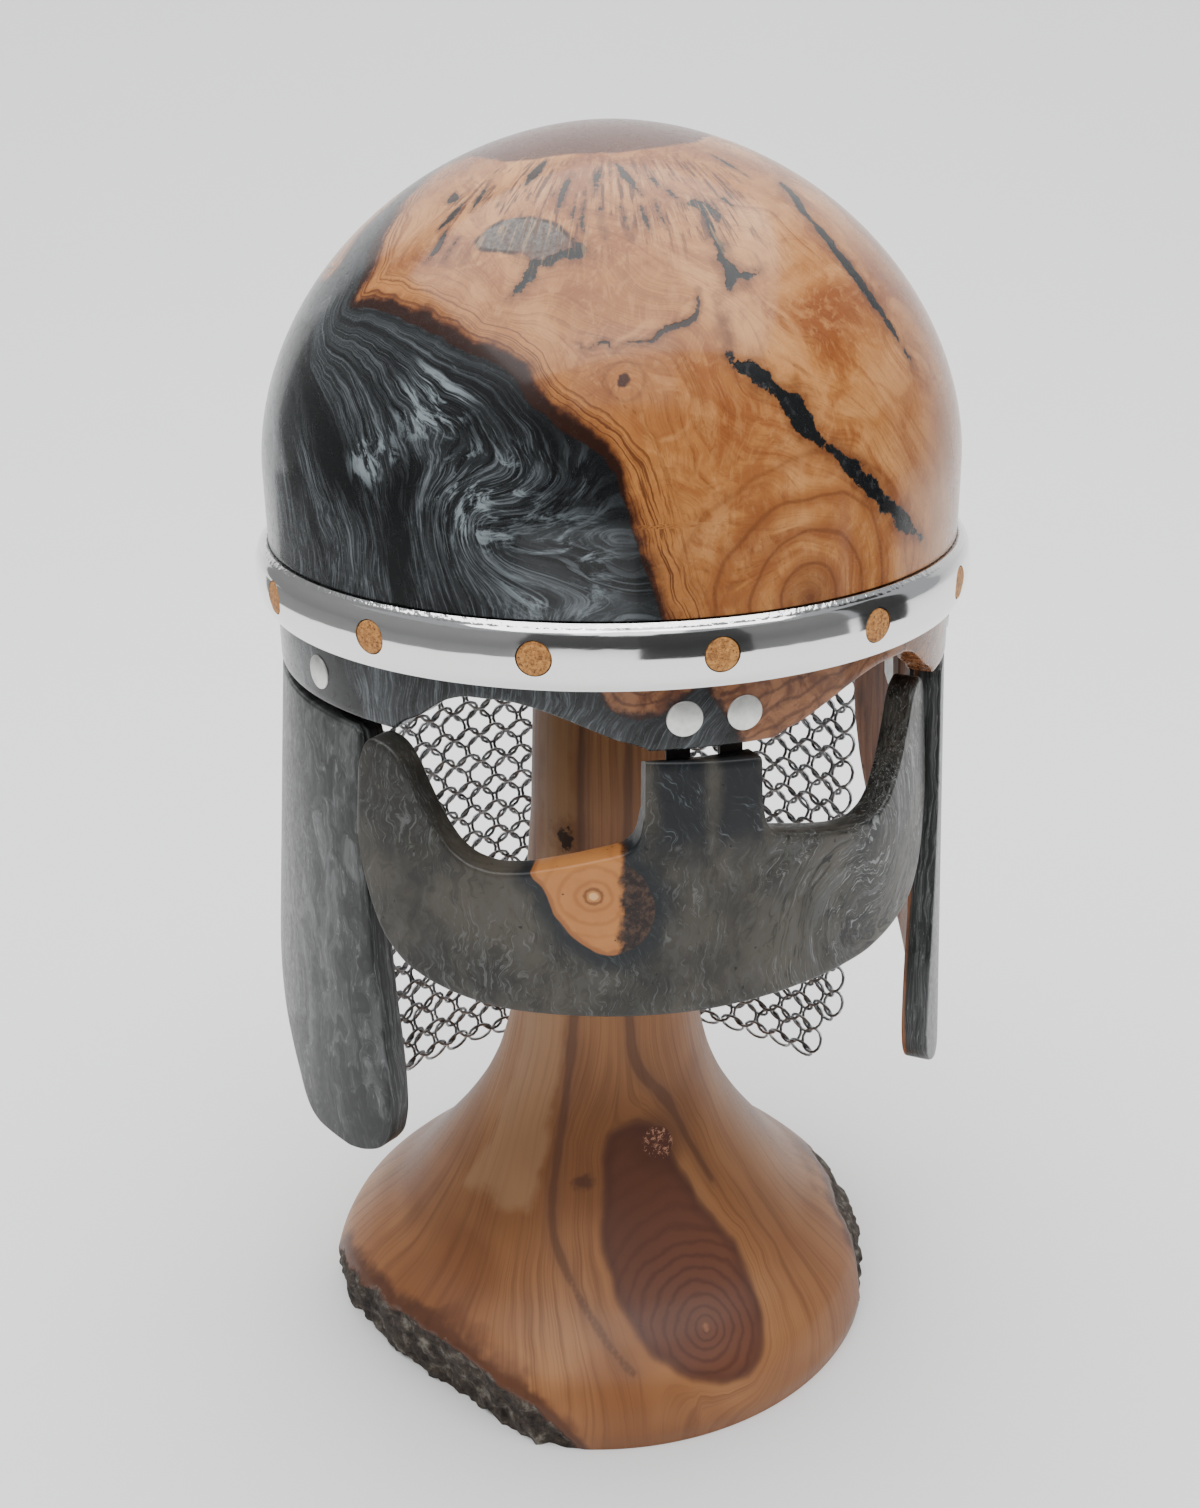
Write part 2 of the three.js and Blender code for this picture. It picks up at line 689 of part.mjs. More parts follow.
function mailCurtain() {
  const span = 360 - 2 * MAIL_START_ANGLE;
  const top = RIM_Z - GAP;
  const sections = [];
  const addSection = (share) => {
    const fromEnd = Math.min(share, 1 - share) * span;
    const corner = Math.max(0, 1 - fromEnd / MAIL_CORNER_ANGLE);
    const low = BAND_HEIGHT - MAIL_BOTTOM_DEPTH + MAIL_CORNER_RISE * corner ** 1.6;
    const outer = MAIL_OUTER_RADIUS;
    const inner = MAIL_OUTER_RADIUS - MAIL_THICKNESS;
    const flat = [[inner, low], [outer, low], [outer, top], [inner, top]];
    const angle = MAIL_START_ANGLE + share * span;
    sections.push({ points: flat.map(([radius, z]) => polar(angle, radius, z)), flat });
  };
  for (let i = 0; i <= MAIL_STEPS; i += 1) addSection(i / MAIL_STEPS);
  return loft(sections);
}

// Turned stand whose foot keeps two live edges of the log
function stand() {
  const rings = [];
  const addRing = (z, radius) => {
    const lean = Math.max(0, 1 - z / STAND_LEAN_TOP);
    const ring = [];
    for (let i = 0; i < STAND_SIDES; i += 1) {
      const angle = -122 + (360 * i) / STAND_SIDES;
      const bark = FOOT_RADIUS * tableValue(FOOT_EDGE, 'angle', 'share', angle) + BARK_BATTER * z;
      const point = polar(angle, Math.min(radius, bark), z);
      ring.push([point[0] + STAND_LEAN_X * lean, point[1] + STAND_LEAN_Y * lean, z]);
    }
    rings.push(ring);
  };
  for (const { up, out } of STAND_FLARE) {
    addRing(up * FLARE_HEIGHT, POST_RADIUS + (FOOT_RADIUS - POST_RADIUS) * out);
  }
  addRing(STAND_LEAN_TOP, POST_RADIUS);
  const top = DOME_INSIDE_TOP - GAP;
  for (const { out, below } of POST_TOP_SHAPE) {
    if (out > 0) addRing(top - below * POST_RADIUS, POST_RADIUS * out);
  }
  return ringStack(rings, [0, 0, top]);
}

function toGeometry(solid) {
  const mesh = solid.getMesh();
  const points = new Float32Array(mesh.numVert * 3);
  for (let i = 0; i < mesh.numVert; i += 1) {
    for (let k = 0; k < 3; k += 1) points[i * 3 + k] = mesh.vertProperties[i * mesh.numProp + k];
  }
  const geometry = new THREE.BufferGeometry();
  geometry.setAttribute('position', new THREE.BufferAttribute(points, 3));
  geometry.setIndex(new THREE.BufferAttribute(new Uint32Array(mesh.triVerts), 1));
  return geometry;
}

const LOOKS = {
  wood_and_resin: { color: 0x9a6238, roughness: 0.2, metalness: 0 },
  resin: { color: 0x4d504f, roughness: 0.35, metalness: 0 },
  polished_aluminium: { color: 0xd9dbdc, roughness: 0.12, metalness: 1 },
  satin_aluminium: { color: 0xcfcfc9, roughness: 0.4, metalness: 1 },
  cork: { color: 0x9c5a22, roughness: 0.85, metalness: 0 },
  leather: { color: 0x2c211c, roughness: 0.6, metalness: 0 },
  mail_steel: { color: 0x6b6d6e, roughness: 0.35, metalness: 1 },
  stand_wood: { color: 0x8a5a3a, roughness: 0.4, metalness: 0 },
};

const group = new THREE.Group();

function addPiece(name, solid, look) {
  const mesh = new THREE.Mesh(toGeometry(solid), new THREE.MeshStandardMaterial(LOOKS[look]));
  mesh.name = name;
  group.add(mesh);
}

addPiece('helmet_shell', helmetShell(), 'wood_and_resin');
addPiece('band', bandRing(), 'polished_aluminium');
for (let i = 0; i < INLAY_COUNT; i += 1) {
  addPiece(`inlay_${String(i + 1).padStart(2, '0')}`, inlay(i), 'cork');
}
addPiece('face_guard', faceGuard(), 'resin');
for (const { name, side } of [{ name: 'right', side: -1 }, { name: 'left', side: 1 }]) {
  addPiece(`cheek_guard_${name}`, cheekGuard(side), side < 0 ? 'resin' : 'wood_and_resin');
  const onFace = { place: FACE_PLACE, radiusAt: faceRadiusAt, roundEnd: false };
  const onCheek = { place: cheekPlace(side), radiusAt: cheekRadiusAt, roundEnd: false };
  const nasalAngle = side * NASAL_STRAP_ANGLE;
  const cheekAngle = side * CHEEK_STRAP_ANGLE;
  const holeFor = (angle) => shankHole(angle, STRAP_OUTER - 6, STRAP_OUTER + 6);
  const nasalShape = { angle: nasalAngle, width: NASAL_STRAP_WIDTH, bottomDepth: NASAL_STRAP_DEPTH };
  const nasal = strap({ ...nasalShape, ...onFace });
  addPiece(`nasal_strap_${name}`, nasal.subtract(holeFor(nasalAngle)), 'leather');
  const cheekShape = { angle: cheekAngle, width: CHEEK_STRAP_WIDTH, bottomDepth: CHEEK_STRAP_DEPTH };
  const cheek = strap({ ...cheekShape, ...onCheek });
  addPiece(`cheek_strap_${name}`, cheek.subtract(holeFor(cheekAngle)), 'leather');
  const barAngle = side * CHEEK_BAR_ANGLE;
  const barShape = { angle: barAngle, width: CHEEK_BAR_WIDTH, bottomDepth: CHEEK_BAR_DEPTH };
  addPiece(`cheek_bar_${name}`, strap({ ...barShape, ...onCheek, roundEnd: true }), 'satin_aluminium');
}
for (const { name, angle } of RIVETS) addPiece(name, rivet(angle), 'satin_aluminium');
addPiece('mail', mailCurtain(), 'mail_steel');
addPiece('stand', stand(), 'stand_wood');

export default group;
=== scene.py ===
import math
import bpy
import numpy as np
from mathutils import Matrix, Vector


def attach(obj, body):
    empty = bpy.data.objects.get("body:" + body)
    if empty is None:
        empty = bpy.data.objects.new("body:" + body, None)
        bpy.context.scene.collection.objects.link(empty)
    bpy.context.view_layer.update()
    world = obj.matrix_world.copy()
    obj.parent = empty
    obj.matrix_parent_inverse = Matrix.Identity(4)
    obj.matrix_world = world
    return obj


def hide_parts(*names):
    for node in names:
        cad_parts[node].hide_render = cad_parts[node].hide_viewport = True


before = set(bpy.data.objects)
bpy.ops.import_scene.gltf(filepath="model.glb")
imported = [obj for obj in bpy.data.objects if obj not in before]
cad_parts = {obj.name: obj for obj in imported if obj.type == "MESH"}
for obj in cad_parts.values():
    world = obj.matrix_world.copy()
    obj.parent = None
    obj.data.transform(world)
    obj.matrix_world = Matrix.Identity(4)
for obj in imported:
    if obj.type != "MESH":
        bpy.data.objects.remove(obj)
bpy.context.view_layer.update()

# Sizes of the helmet, in millimetres and degrees
BAND_Z = 293.0
RIM_Z = 263.0
SHELL_R = 113.8
BELOW_R = 112.3
INNER_R = 103.3
SEAT_Z = 302.9
DOME_START = 325.0
DOME_RISE = 104.0
INNER_RISE = 95.0
DOME_POWER = 1.9
BAND_R = 118.5
BAND_UP = 9.6
BAND_DOWN = 10.0
BAND_IN = 112.6
INLAYS = 14
INLAY_R = 5.0
GUARD_WALL = 9.0
# Millimetres along the surface for each degree round the shell, the dome and the face guard
SHELL_ARC = 1.96
DOME_ARC = 1.98
FACE_ARC = 1.99
RNG = np.random.default_rng(7)


def rows_value(rows, x):
    """Smooth value from (x, y) rows that keeps the rows' own highs and lows."""
    xs = np.array([r[0] for r in rows], float)
    ys = np.array([r[1] for r in rows], float)
    slopes = np.diff(ys) / np.diff(xs)
    tangents = np.zeros(len(xs))
    tangents[0] = slopes[0]
    tangents[-1] = slopes[-1]
    for i in range(1, len(xs) - 1):
        a = slopes[i - 1]
        b = slopes[i]
        tangents[i] = 0 if a * b <= 0 else 2 * a * b / (a + b)
    x = np.clip(np.asarray(x, float), xs[0], xs[-1])
    k = np.clip(np.searchsorted(xs, x, side="right") - 1, 0, len(xs) - 2)
    span = xs[k + 1] - xs[k]
    s = (x - xs[k]) / span
    rise = s * s * (3 - 2 * s) * (ys[k + 1] - ys[k])
    bend = s * (1 - s) * ((1 - s) * tangents[k] - s * tangents[k + 1]) * span
    return ys[k] + rise + bend


def polar(angle, radius, z):
    """Points at an angle in degrees from the front, a radius and a height."""
    t = np.radians(angle)
    return np.stack(np.broadcast_arrays(radius * np.sin(t), -radius * np.cos(t), z), -1)


def grid_faces(rows, columns, wrap, start=0, flip=False):
    """Quads of a grid whose points run along each row in turn."""
    r = np.arange(rows - 1)[:, None]
    c = np.arange(columns if wrap else columns - 1)[None, :]
    n = (c + 1) % columns
    quads = np.stack([r * columns + c, r * columns + n, (r + 1) * columns + n, (r + 1) * columns + c], -1)
    quads = quads.reshape(-1, 4) + start
    return quads[:, ::-1] if flip else quads


def make_mesh(name, points, faces, smooth=True, fields=None):
    """Object from points in millimetres, lists of faces and values at the points."""
    mesh = bpy.data.meshes.new(name)
    loops = [np.asarray(f, np.int32).reshape(len(f), -1) for f in faces if len(f)]
    flat = np.concatenate([f.ravel() for f in loops])
    sizes = np.concatenate([np.full(len(f), f.shape[1]) for f in loops])
    starts = np.concatenate([[0], np.cumsum(sizes)[:-1]]).astype(np.int32)
    mesh.vertices.add(len(points))
    mesh.vertices.foreach_set("co", (np.asarray(points, float) / 1000).astype(np.float32).ravel())
    mesh.loops.add(len(flat))
    mesh.loops.foreach_set("vertex_index", flat.astype(np.int32))
    mesh.polygons.add(len(starts))
    mesh.polygons.foreach_set("loop_start", starts)
    mesh.update(calc_edges=True)
    mesh.polygons.foreach_set("use_smooth", np.full(len(starts), smooth))
    for key, value in (fields or {}).items():
        value = np.asarray(value, np.float32)
        if value.ndim == 1:
            mesh.attributes.new(key, "FLOAT", "POINT").data.foreach_set("value", value)
        else:
            mesh.attributes.new(key, "FLOAT_VECTOR", "POINT").data.foreach_set("vector", value.ravel())
    mesh.validate()
    obj = bpy.data.objects.new(name, mesh)
    bpy.context.scene.collection.objects.link(obj)
    return obj


def sharpen(obj, degrees):
    """Keeps the edges sharp where faces meet at more than an angle."""
    obj.data.set_sharp_from_angle(angle=math.radians(degrees))


def place_piece(obj, slot, material, *nodes):
    """Puts a built piece in the place of one or more CAD nodes."""
    obj.data.materials.append(material)
    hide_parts(*nodes)
    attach(obj, "root")


def curve_points(points, steps=6, closed=False):
    """Smooth line through points."""
    p = np.asarray(points, float)
    n = len(p)
    out = []
    for i in range(n if closed else n - 1):
        a = p[(i - 1) % n] if closed or i > 0 else p[i]
        b = p[i]
        c = p[(i + 1) % n]
        d = p[(i + 2) % n] if closed or i + 2 < n else c
        for s in np.arange(steps) / steps:
            out.append(0.5 * (2 * b + (c - a) * s + (2 * a - 5 * b + 4 * c - d) * s ** 2
                              + (3 * b - a - 3 * c + d) * s ** 3))
    if not closed:
        out.append(p[-1])
    return np.array(out)


def line_distance(points, line, widths=None):
    """Distance of points from a line, less the line's half width at the nearest place."""
    best = np.full(len(points), 1e6)
    line = np.asarray(line, float)
    half = np.zeros(len(line)) if widths is None else np.asarray(widths, float)
    for i in range(len(line) - 1):
        a = line[i]
        d = line[i + 1] - a
        t = np.clip((points - a) @ d / max(d @ d, 1e-9), 0, 1)
        gap = np.linalg.norm(points - a - t[:, None] * d, axis=1)
        best = np.minimum(best, gap - (half[i] + t * (half[i + 1] - half[i])))
    return best


def inside_outline(points, outline):
    """Which flat points lie inside an outline."""
    x = points[:, 0]
    y = points[:, 1]
    inside = np.zeros(len(points), bool)
    n = len(outline)
    for i in range(n):
        x1, y1 = outline[i]
        x2, y2 = outline[(i + 1) % n]
        if y1 == y2:
            continue
        cross = (y1 > y) != (y2 > y)
        inside ^= cross & (x < (x2 - x1) * (y - y1) / (y2 - y1) + x1)
    return inside


def inward_gap(points, flat, line, flat_line, allowed=True):
    """Distance from a closed line, positive inside it and negative outside."""
    gap = line_distance(points, np.concatenate([line, line[:1]]))
    return np.where(inside_outline(flat, flat_line) & allowed, gap, -gap)


def swirled(u, v, centre, turn):
    """Flat places turned about a centre, each by its own angle."""
    du = u - centre[0]
    dv = v - centre[1]
    return (centre[0] + du * np.cos(turn) - dv * np.sin(turn),
            centre[1] + du * np.sin(turn) + dv * np.cos(turn))


def fan_faces(start, count, tip, flip=False):
    """Triangles from a ring of points to one point."""
    c = np.arange(count)
    n = (c + 1) % count
    first, second = (n, c) if flip else (c, n)
    return np.stack([start + first, start + second, np.full(count, tip)], -1)


def waves(points, size, seed, count=24):
    """Soft noise from about -1 to 1, with features of one size in millimetres."""
    rng = np.random.default_rng(seed)
    total = np.zeros(len(points))
    for _ in range(count):
        d = rng.normal(size=3)
        d = d / np.linalg.norm(d) * rng.uniform(0.6, 1.5) * 2 * math.pi / size
        total += np.sin(points @ d + rng.uniform(0, 2 * math.pi))
    return total / math.sqrt(count / 2) / 2


class Signal:
    """An output of a shader node that can be added to, taken away and multiplied."""

    def __init__(self, shader, socket):
        self.shader = shader
        self.socket = socket

    def __add__(self, other):
        return self.shader.math("ADD", self, other)

    def __sub__(self, other):
        return self.shader.math("SUBTRACT", self, other)

    def __mul__(self, other):
        return self.shader.math("MULTIPLY", self, other)

    def __radd__(self, other):
        return self.shader.math("ADD", other, self)


class Shader:
    """A procedural material built from nodes."""

    def __init__(self, name):
        self.material = bpy.data.materials.new(name)
        self.material.use_nodes = True
        self.tree = self.material.node_tree
        self.tree.nodes.clear()
        out = self.tree.nodes.new("ShaderNodeOutputMaterial")
        self.bsdf = self.tree.nodes.new("ShaderNodeBsdfPrincipled")
        self.tree.links.new(self.bsdf.outputs[0], out.inputs["Surface"])

    def put(self, socket, value):
        if isinstance(value, Signal):
            self.tree.links.new(value.socket, socket)
        elif socket.type == "RGBA":
            socket.default_value = (*value, 1)
        else:
            socket.default_value = value

    def set(self, **values):
        for key, value in values.items():
            self.put(self.bsdf.inputs[key.replace("_", " ")], value)

    def node(self, kind, inputs, output=0, **settings):
        """A node with its settings and inputs, as the signal of one output."""
        n = self.tree.nodes.new(kind)
        for key, value in settings.items():
            setattr(n, key, value)
        for key, value in inputs.items():
            self.put(n.inputs[key], value)
        return Signal(self, n.outputs[output])

    def field(self, name):
        return self.node("ShaderNodeAttribute", {}, "Fac", attribute_name=name)

    def vector_field(self, name):
        return self.node("ShaderNodeAttribute", {}, "Vector", attribute_name=name)

    def position(self):
        """Place on the object in millimetres."""
        return self.scaled(self.node("ShaderNodeTexCoord", {}, "Object"), (1000, 1000, 1000))

    def scaled(self, vector, scale):
        return self.node("ShaderNodeVectorMath", {0: vector, 1: scale}, operation="MULTIPLY")

    def moved(self, vector, other, amount):
        """A vector pushed by another one times an amount."""
        inputs = {0: other, 1: (amount, amount, amount), 2: vector}
        return self.node("ShaderNodeVectorMath", inputs, operation="MULTIPLY_ADD")

    def join(self, x, y, z=0.0):
        return self.node("ShaderNodeCombineXYZ", {0: x, 1: y, 2: z})

    def split(self, vector):
        first = self.node("ShaderNodeSeparateXYZ", {0: vector})
        return [Signal(self, socket) for socket in first.socket.node.outputs]

    def math(self, operation, a, b=0.0):
        return self.node("ShaderNodeMath", {0: a, 1: b}, operation=operation)

    def noise(self, vector, scale, detail=3.0, roughness=0.55, distortion=0.0, colour=False):
        inputs = {"Vector": vector, "Scale": scale, "Detail": detail, "Roughness": roughness,
                  "Distortion": distortion}
        return self.node("ShaderNodeTexNoise", inputs, "Color" if colour else "Fac")

    def cells(self, vector, scale):
        return self.node("ShaderNodeTexVoronoi", {"Vector": vector, "Scale": scale}, "Distance")

    def ramp(self, value, stops):
        """Colours or plain numbers along a value."""
        result = self.node("ShaderNodeValToRGB", {0: value})
        elements = result.socket.node.color_ramp.elements
        while len(elements) < len(stops):
            elements.new(0.5)
        for element, (at, colour) in zip(elements, stops):
            element.position = at
            element.color = (*(colour if isinstance(colour, tuple) else (colour,) * 3), 1)
        return result

    def step(self, value, low, high):
        """0 at low and 1 at high, with a soft change between."""
        inputs = {"Value": value, "From Min": min(low, high), "From Max": max(low, high),
                  "To Min": float(high < low), "To Max": float(high > low)}
        return self.node("ShaderNodeMapRange", inputs, "Result", interpolation_type="SMOOTHSTEP")

    def mix(self, amount, a, b):
        """a where the amount is 0, b where it is 1."""
        return self.node("ShaderNodeMix", {0: amount, 6: a, 7: b}, 2, data_type="RGBA")

    def bump(self, height, distance, strength=1.0):
        inputs = {"Height": height, "Distance": distance, "Strength": strength}
        return self.node("ShaderNodeBump", inputs)


# Colours, linear
WOOD_LIGHT = (0.55, 0.255, 0.090)
WOOD_GOLD = (0.40, 0.158, 0.044)
WOOD_MID = (0.24, 0.074, 0.021)
WOOD_DARK = (0.085, 0.024, 0.01)
BARK_BROWN = (0.022, 0.008, 0.005)
RESIN_BLACK = (0.007, 0.0075, 0.008)
RESIN_GREY = (0.028, 0.031, 0.033)
PEARL = (0.17, 0.19, 0.205)


def resin_colour(s, flow, dark, grey, pearl):
    """Cast resin with streaks and swirls of pearl, along a flow given in millimetres."""
    warp = s.noise(flow, 0.03, 2.0, 0.5, 0.0, colour=True)
    bent = s.moved(flow, warp, 15.0)
    broad = s.noise(s.scaled(bent, (0.06, 0.016, 0.05)), 1.0, 3.0, 0.55, 0.5)
    streak = s.noise(s.scaled(bent, (0.7, 0.036, 0.3)), 1.0, 6.0, 0.68, 0.5)
    fine = s.noise(s.scaled(bent, (2.2, 0.08, 0.6)), 1.0, 4.0, 0.64, 0.4)
    value = broad * 0.6 + streak * 0.6
    base = s.ramp(value, [(0.54, dark), (0.66, grey), (0.86, pearl)])
    lines = s.step(fine, 0.51, 0.66) * s.step(broad, 0.34, 0.54)
    base = s.mix(lines * 0.5, base, pearl)
    wisps = s.step(streak, 0.55, 0.7) * s.step(broad, 0.38, 0.58)
    return s.mix(wisps * 0.4, base, pearl)


def wood_colour(s, grain, along, p):
    """Burl wood: a ring field in millimetres gives the lines, and noise the figure."""
    warp = s.noise(p, 0.03, 2.0, 0.5, 0.0, colour=True)
    bent = s.moved(p, warp, 30.0)
    big = s.noise(bent, 0.018, 3.0, 0.55, 0.8)
    base = s.ramp(big, [(0.36, WOOD_MID), (0.5, WOOD_GOLD), (0.64, WOOD_LIGHT)])
    rings = s.noise(s.join(grain * 0.26, along * 0.006, 0.0), 1.0, 3.0, 0.6, 0.0)
    base = s.mix(s.step(rings, 0.5, 0.64) * 0.7, base, WOOD_MID)
    fibre = s.noise(s.join(grain * 1.3, along * 0.03, 3.0), 1.0, 4.0, 0.65, 0.3)
    base = s.mix(s.step(fibre, 0.45, 0.7) * 0.4, base, WOOD_DARK)
    figure = s.noise(bent, 0.06, 5.0, 0.6, 1.2)
    base = s.mix(s.step(figure, 0.5, 0.66) * 0.5, base, WOOD_LIGHT)
    base = s.mix(s.step(figure, 0.48, 0.34) * 0.6, base, WOOD_MID)
    ripple = s.noise(s.scaled(bent, (0.5, 0.5, 0.05)), 1.0, 3.0, 0.6, 0.4)
    base = s.mix(s.step(ripple, 0.5, 0.66) * 0.3, base, WOOD_LIGHT)
    pores = s.noise(s.join(grain * 2.6, along * 0.25, 7.0), 1.0, 2.0, 0.5)
    return s.mix(s.step(pores, 0.62, 0.72) * 0.4, base, WOOD_DARK)


# Places on the dome where the wood meets the cast resin, x y z
DOME_EDGE = [
    (-12.6, -113.1, 296), (-16.0, -112.7, 303.8), (-20.0, -112.1, 315), (-22.9, -111.5, 325.2),
    (-26.4, -109.3, 339.0), (-28.1, -107.8, 343.9), (-32.8, -105.0, 349.5), (-40.9, -99.8, 355.5),
    (-47.8, -94.0, 361.2), (-51.1, -88.5, 367.8), (-56.3, -82.7, 371.6), (-61.8, -77.6, 373.0),
    (-66.2, -71.3, 375.9), (-72.1, -62.5, 378.6), (-75.8, -56.1, 380.2), (-81.8, -45.2, 381.4),
    (-87.3, -34.7, 380.7), (-85.7, -31.7, 384.1), (-81.9, -28.0, 389.7), (-80.0, -23.5, 393.0),
    (-69.8, -6.6, 404.6), (-60.5, 4.0, 411.0), (-52.0, 11.0, 415.5), (-47.0, 17.0, 417.3),
]
# The thin wedge of resin turns back here, and a strip of wood lies behind it
WEDGE_BACK = [
    (-54.7, 9.0, 414.0), (-62.7, 3.0, 409.7), (-69.8, -1.0, 404.8), (-77.0, -3.0, 399.0),
    (-83.5, -7.0, 392.9), (-86.5, -9.0, 388.5), (-91.0, -3.0, 384.0), (-91.0, 14.0, 382.5),
    (-84.0, 36.0, 381.5), (-72.0, 58.0, 379.5), (-60.0, 76.0, 374.0), (-55.0, 90.0, 362.0),
    (-60.0, 94.0, 345.0), (-52.0, 101.0, 325.0), (-46.0, 104.0, 300.0), (-46.0, 104.0, 290.0),
]
# Black cracks as points with half widths
CRACK_LONG = [
    (41.0, -42.0, 411.0, 0.5), (43.8, -47.9, 408.3, 2.3), (44.7, -54.2, 404.5, 2.1),
    (48.7, -60.7, 398.3, 2.5), (52.8, -66.8, 391.1, 2.6), (57.7, -71.1, 383.8, 2.2),
    (62.2, -73.7, 377.2, 1.6), (66.9, -76.0, 369.5, 1.1), (71.6, -77.2, 361.6, 0.3),
]
CRACK_UPPER = [
    (9.7, -64.4, 408.1, 0.9), (10.0, -70.8, 403.5, 0.9), (11.0, -75.2, 399.9, 1.0),
    (11.2, -80.1, 395.5, 1.6), (12.8, -82.4, 393.0, 2.6), (10.9, -86.5, 389.0, 1.2),
]
CRACK_BRANCH = [(12.8, -82.4, 393.0, 0.9), (16.8, -83.6, 391.1, 0.9), (21.9, -81.5, 392.0, 0.4)]
CRACK_BLOT = [
    (5.7, -64.0, 408.8, 0.8), (9.7, -64.4, 408.1, 1.9), (12.7, -66.3, 406.5, 1.3), (13.4, -69.5, 404.1, 0.4),
]
PATCH_SHADE = [
    (-28.3, -69.3, 400.8, 0.8), (-28.1, -72.6, 398.2, 2.0), (-32.9, -71.5, 397.5, 1.1),
    (-37.2, -71.7, 395.6, 1.6), (-40.1, -69.3, 396.2, 1.5), (-42.9, -65.5, 397.8, 0.6),
]
CRACK_MAIN = [
    (6.1, -88.7, 387.0, 0.5), (6.9, -93.6, 380.9, 1.1), (7.3, -98.2, 374.3, 1.5),
    (8.7, -100.6, 370.0, 2.4), (14.2, -101.6, 367.1, 3.0), (19.7, -103.0, 362.4, 2.3),
    (25.4, -104.0, 357.6, 4.2), (27.9, -105.4, 352.1, 3.6), (33.1, -105.4, 347.5, 2.0),
    (40.8, -104.5, 340.6, 2.2), (49.2, -102.1, 332.7, 3.1), (57.5, -98.2, 325.2, 3.2),
    (65.4, -93.2, 318.2, 2.6), (72.2, -88.1, 312.6, 1.4), (74.2, -86.3, 309.6, 0.2),
]
# The material narrows every crack by about this much, which would hide the thin ones
THIN_CRACK_GAIN = 0.9
PATCH_CAP = [
    (-53.6, -55.3, 399.0), (-49.0, -52.6, 403.2), (-42.4, -53.8, 405.8), (-36.5, -57.8, 405.9),
    (-31.1, -63.7, 404.0), (-28.6, -70.8, 399.6), (-30.6, -72.9, 397.2), (-36.0, -71.4, 396.4),
    (-39.6, -70.5, 395.5), (-42.5, -66.3, 397.4), (-48.2, -61.9, 397.7),
]
PATCH_STEM = [(-39.8, -69.8, 396.0, 2.0), (-42.4, -72.7, 392.2, 2.3), (-46.5, -74.6, 388.2, 1.7)]
SQUIGGLE = [
    (-33.0, -91.3, 376.3, 0.2), (-31.5, -92.6, 374.6, 0.2), (-26.4, -93.2, 376.6, 0.35),
    (-24.0, -94.8, 374.3, 0.3), (-20.3, -95.0, 376.1, 0.3), (-13.9, -96.0, 376.4, 0.5),
    (-9.7, -94.6, 379.1, 0.8), (-2.7, -93.8, 380.9, 0.9), (0.1, -92.3, 382.8, 0.5), (2.0, -87.6, 388.4, 0.2),
]
DASHES = [
    ((-27.3, -34.1, 419.7), (-36.1, -43.4, 413.5), 1.7), ((-22.8, -44.9, 416.7), (-30.0, -58.1, 407.9), 1.1),
    ((-14.2, -44.7, 418.4), (-19.0, -57.2, 411.2), 1.2), ((-9.5, -43.8, 419.3), (-6.2, -60.3, 411.0), 1.2),
    ((-52.9, -36.2, 408.8), (-61.6, -40.5, 401.8), 1.3), ((-59.1, -42.7, 402.4), (-66.5, -48.3, 394.2), 1.2),
    ((-53.6, -27.7, 411.2), (-53.3, -32.4, 409.9), 2.0), ((-44.0, -32.2, 414.6), (-52.1, -42.2, 406.8), 0.7),
    ((-41.5, -41.1, 412.4), (-44.7, -46.1, 408.8), 0.7), ((-25.2, -58.5, 409.1), (-27.4, -63.8, 405.1), 0.6),
    ((-22.1, -57.7, 410.3), (-25.4, -68.9, 402.0), 0.7), ((-18.6, -60.9, 409.1), (-19.9, -72.2, 400.8), 0.8),
    ((-13.2, -62.4, 409.0), (-13.0, -73.9, 400.7), 0.8), ((-7.7, -63.5, 408.9), (-7.4, -72.5, 402.5), 0.8),
    ((-2.9, -62.2, 410.0), (-2.0, -71.8, 403.3), 0.7), ((21.6, -36.8, 420.2), (30.4, -46.8, 413.9), 0.8),
    ((16.6, -60.5, 409.8), (20.5, -63.5, 407.0), 0.8), ((2.0, -58.0, 412.3), (4.0, -62.0, 410.0), 0.6),
    ((-2.0, -52.0, 415.5), (0.0, -57.0, 413.0), 0.7), ((-57.0, -49.0, 400.8), (-62.5, -53.0, 395.0), 0.7),
]
HEARTWOOD = [
    (-52.0, 6.0, 415.6), (-44.3, -6.2, 419.3), (-40.8, -19.7, 419.1), (-36.3, -27.5, 418.9),
    (-30.0, -31.2, 419.9), (-23.5, -33.7, 420.8), (-14.3, -37.4, 421.2), (-4.4, -39.0, 421.5),
    (6.7, -36.1, 422.4), (19.2, -29.5, 423.0), (27.5, -19.0, 424.1), (33.0, -2.0, 424.0),
    (30.0, 22.0, 423.4), (4.0, 38.0, 422.0), (-24.0, 34.0, 421.4), (-44.0, 20.0, 418.6),
]
RING_CENTRE = (28.6, -110.1, 304.5)
SMALL_KNOT = (-22.7, -100.0, 367.1)
CROWN_KNOT = (-57.5, -25.0, 411.0)
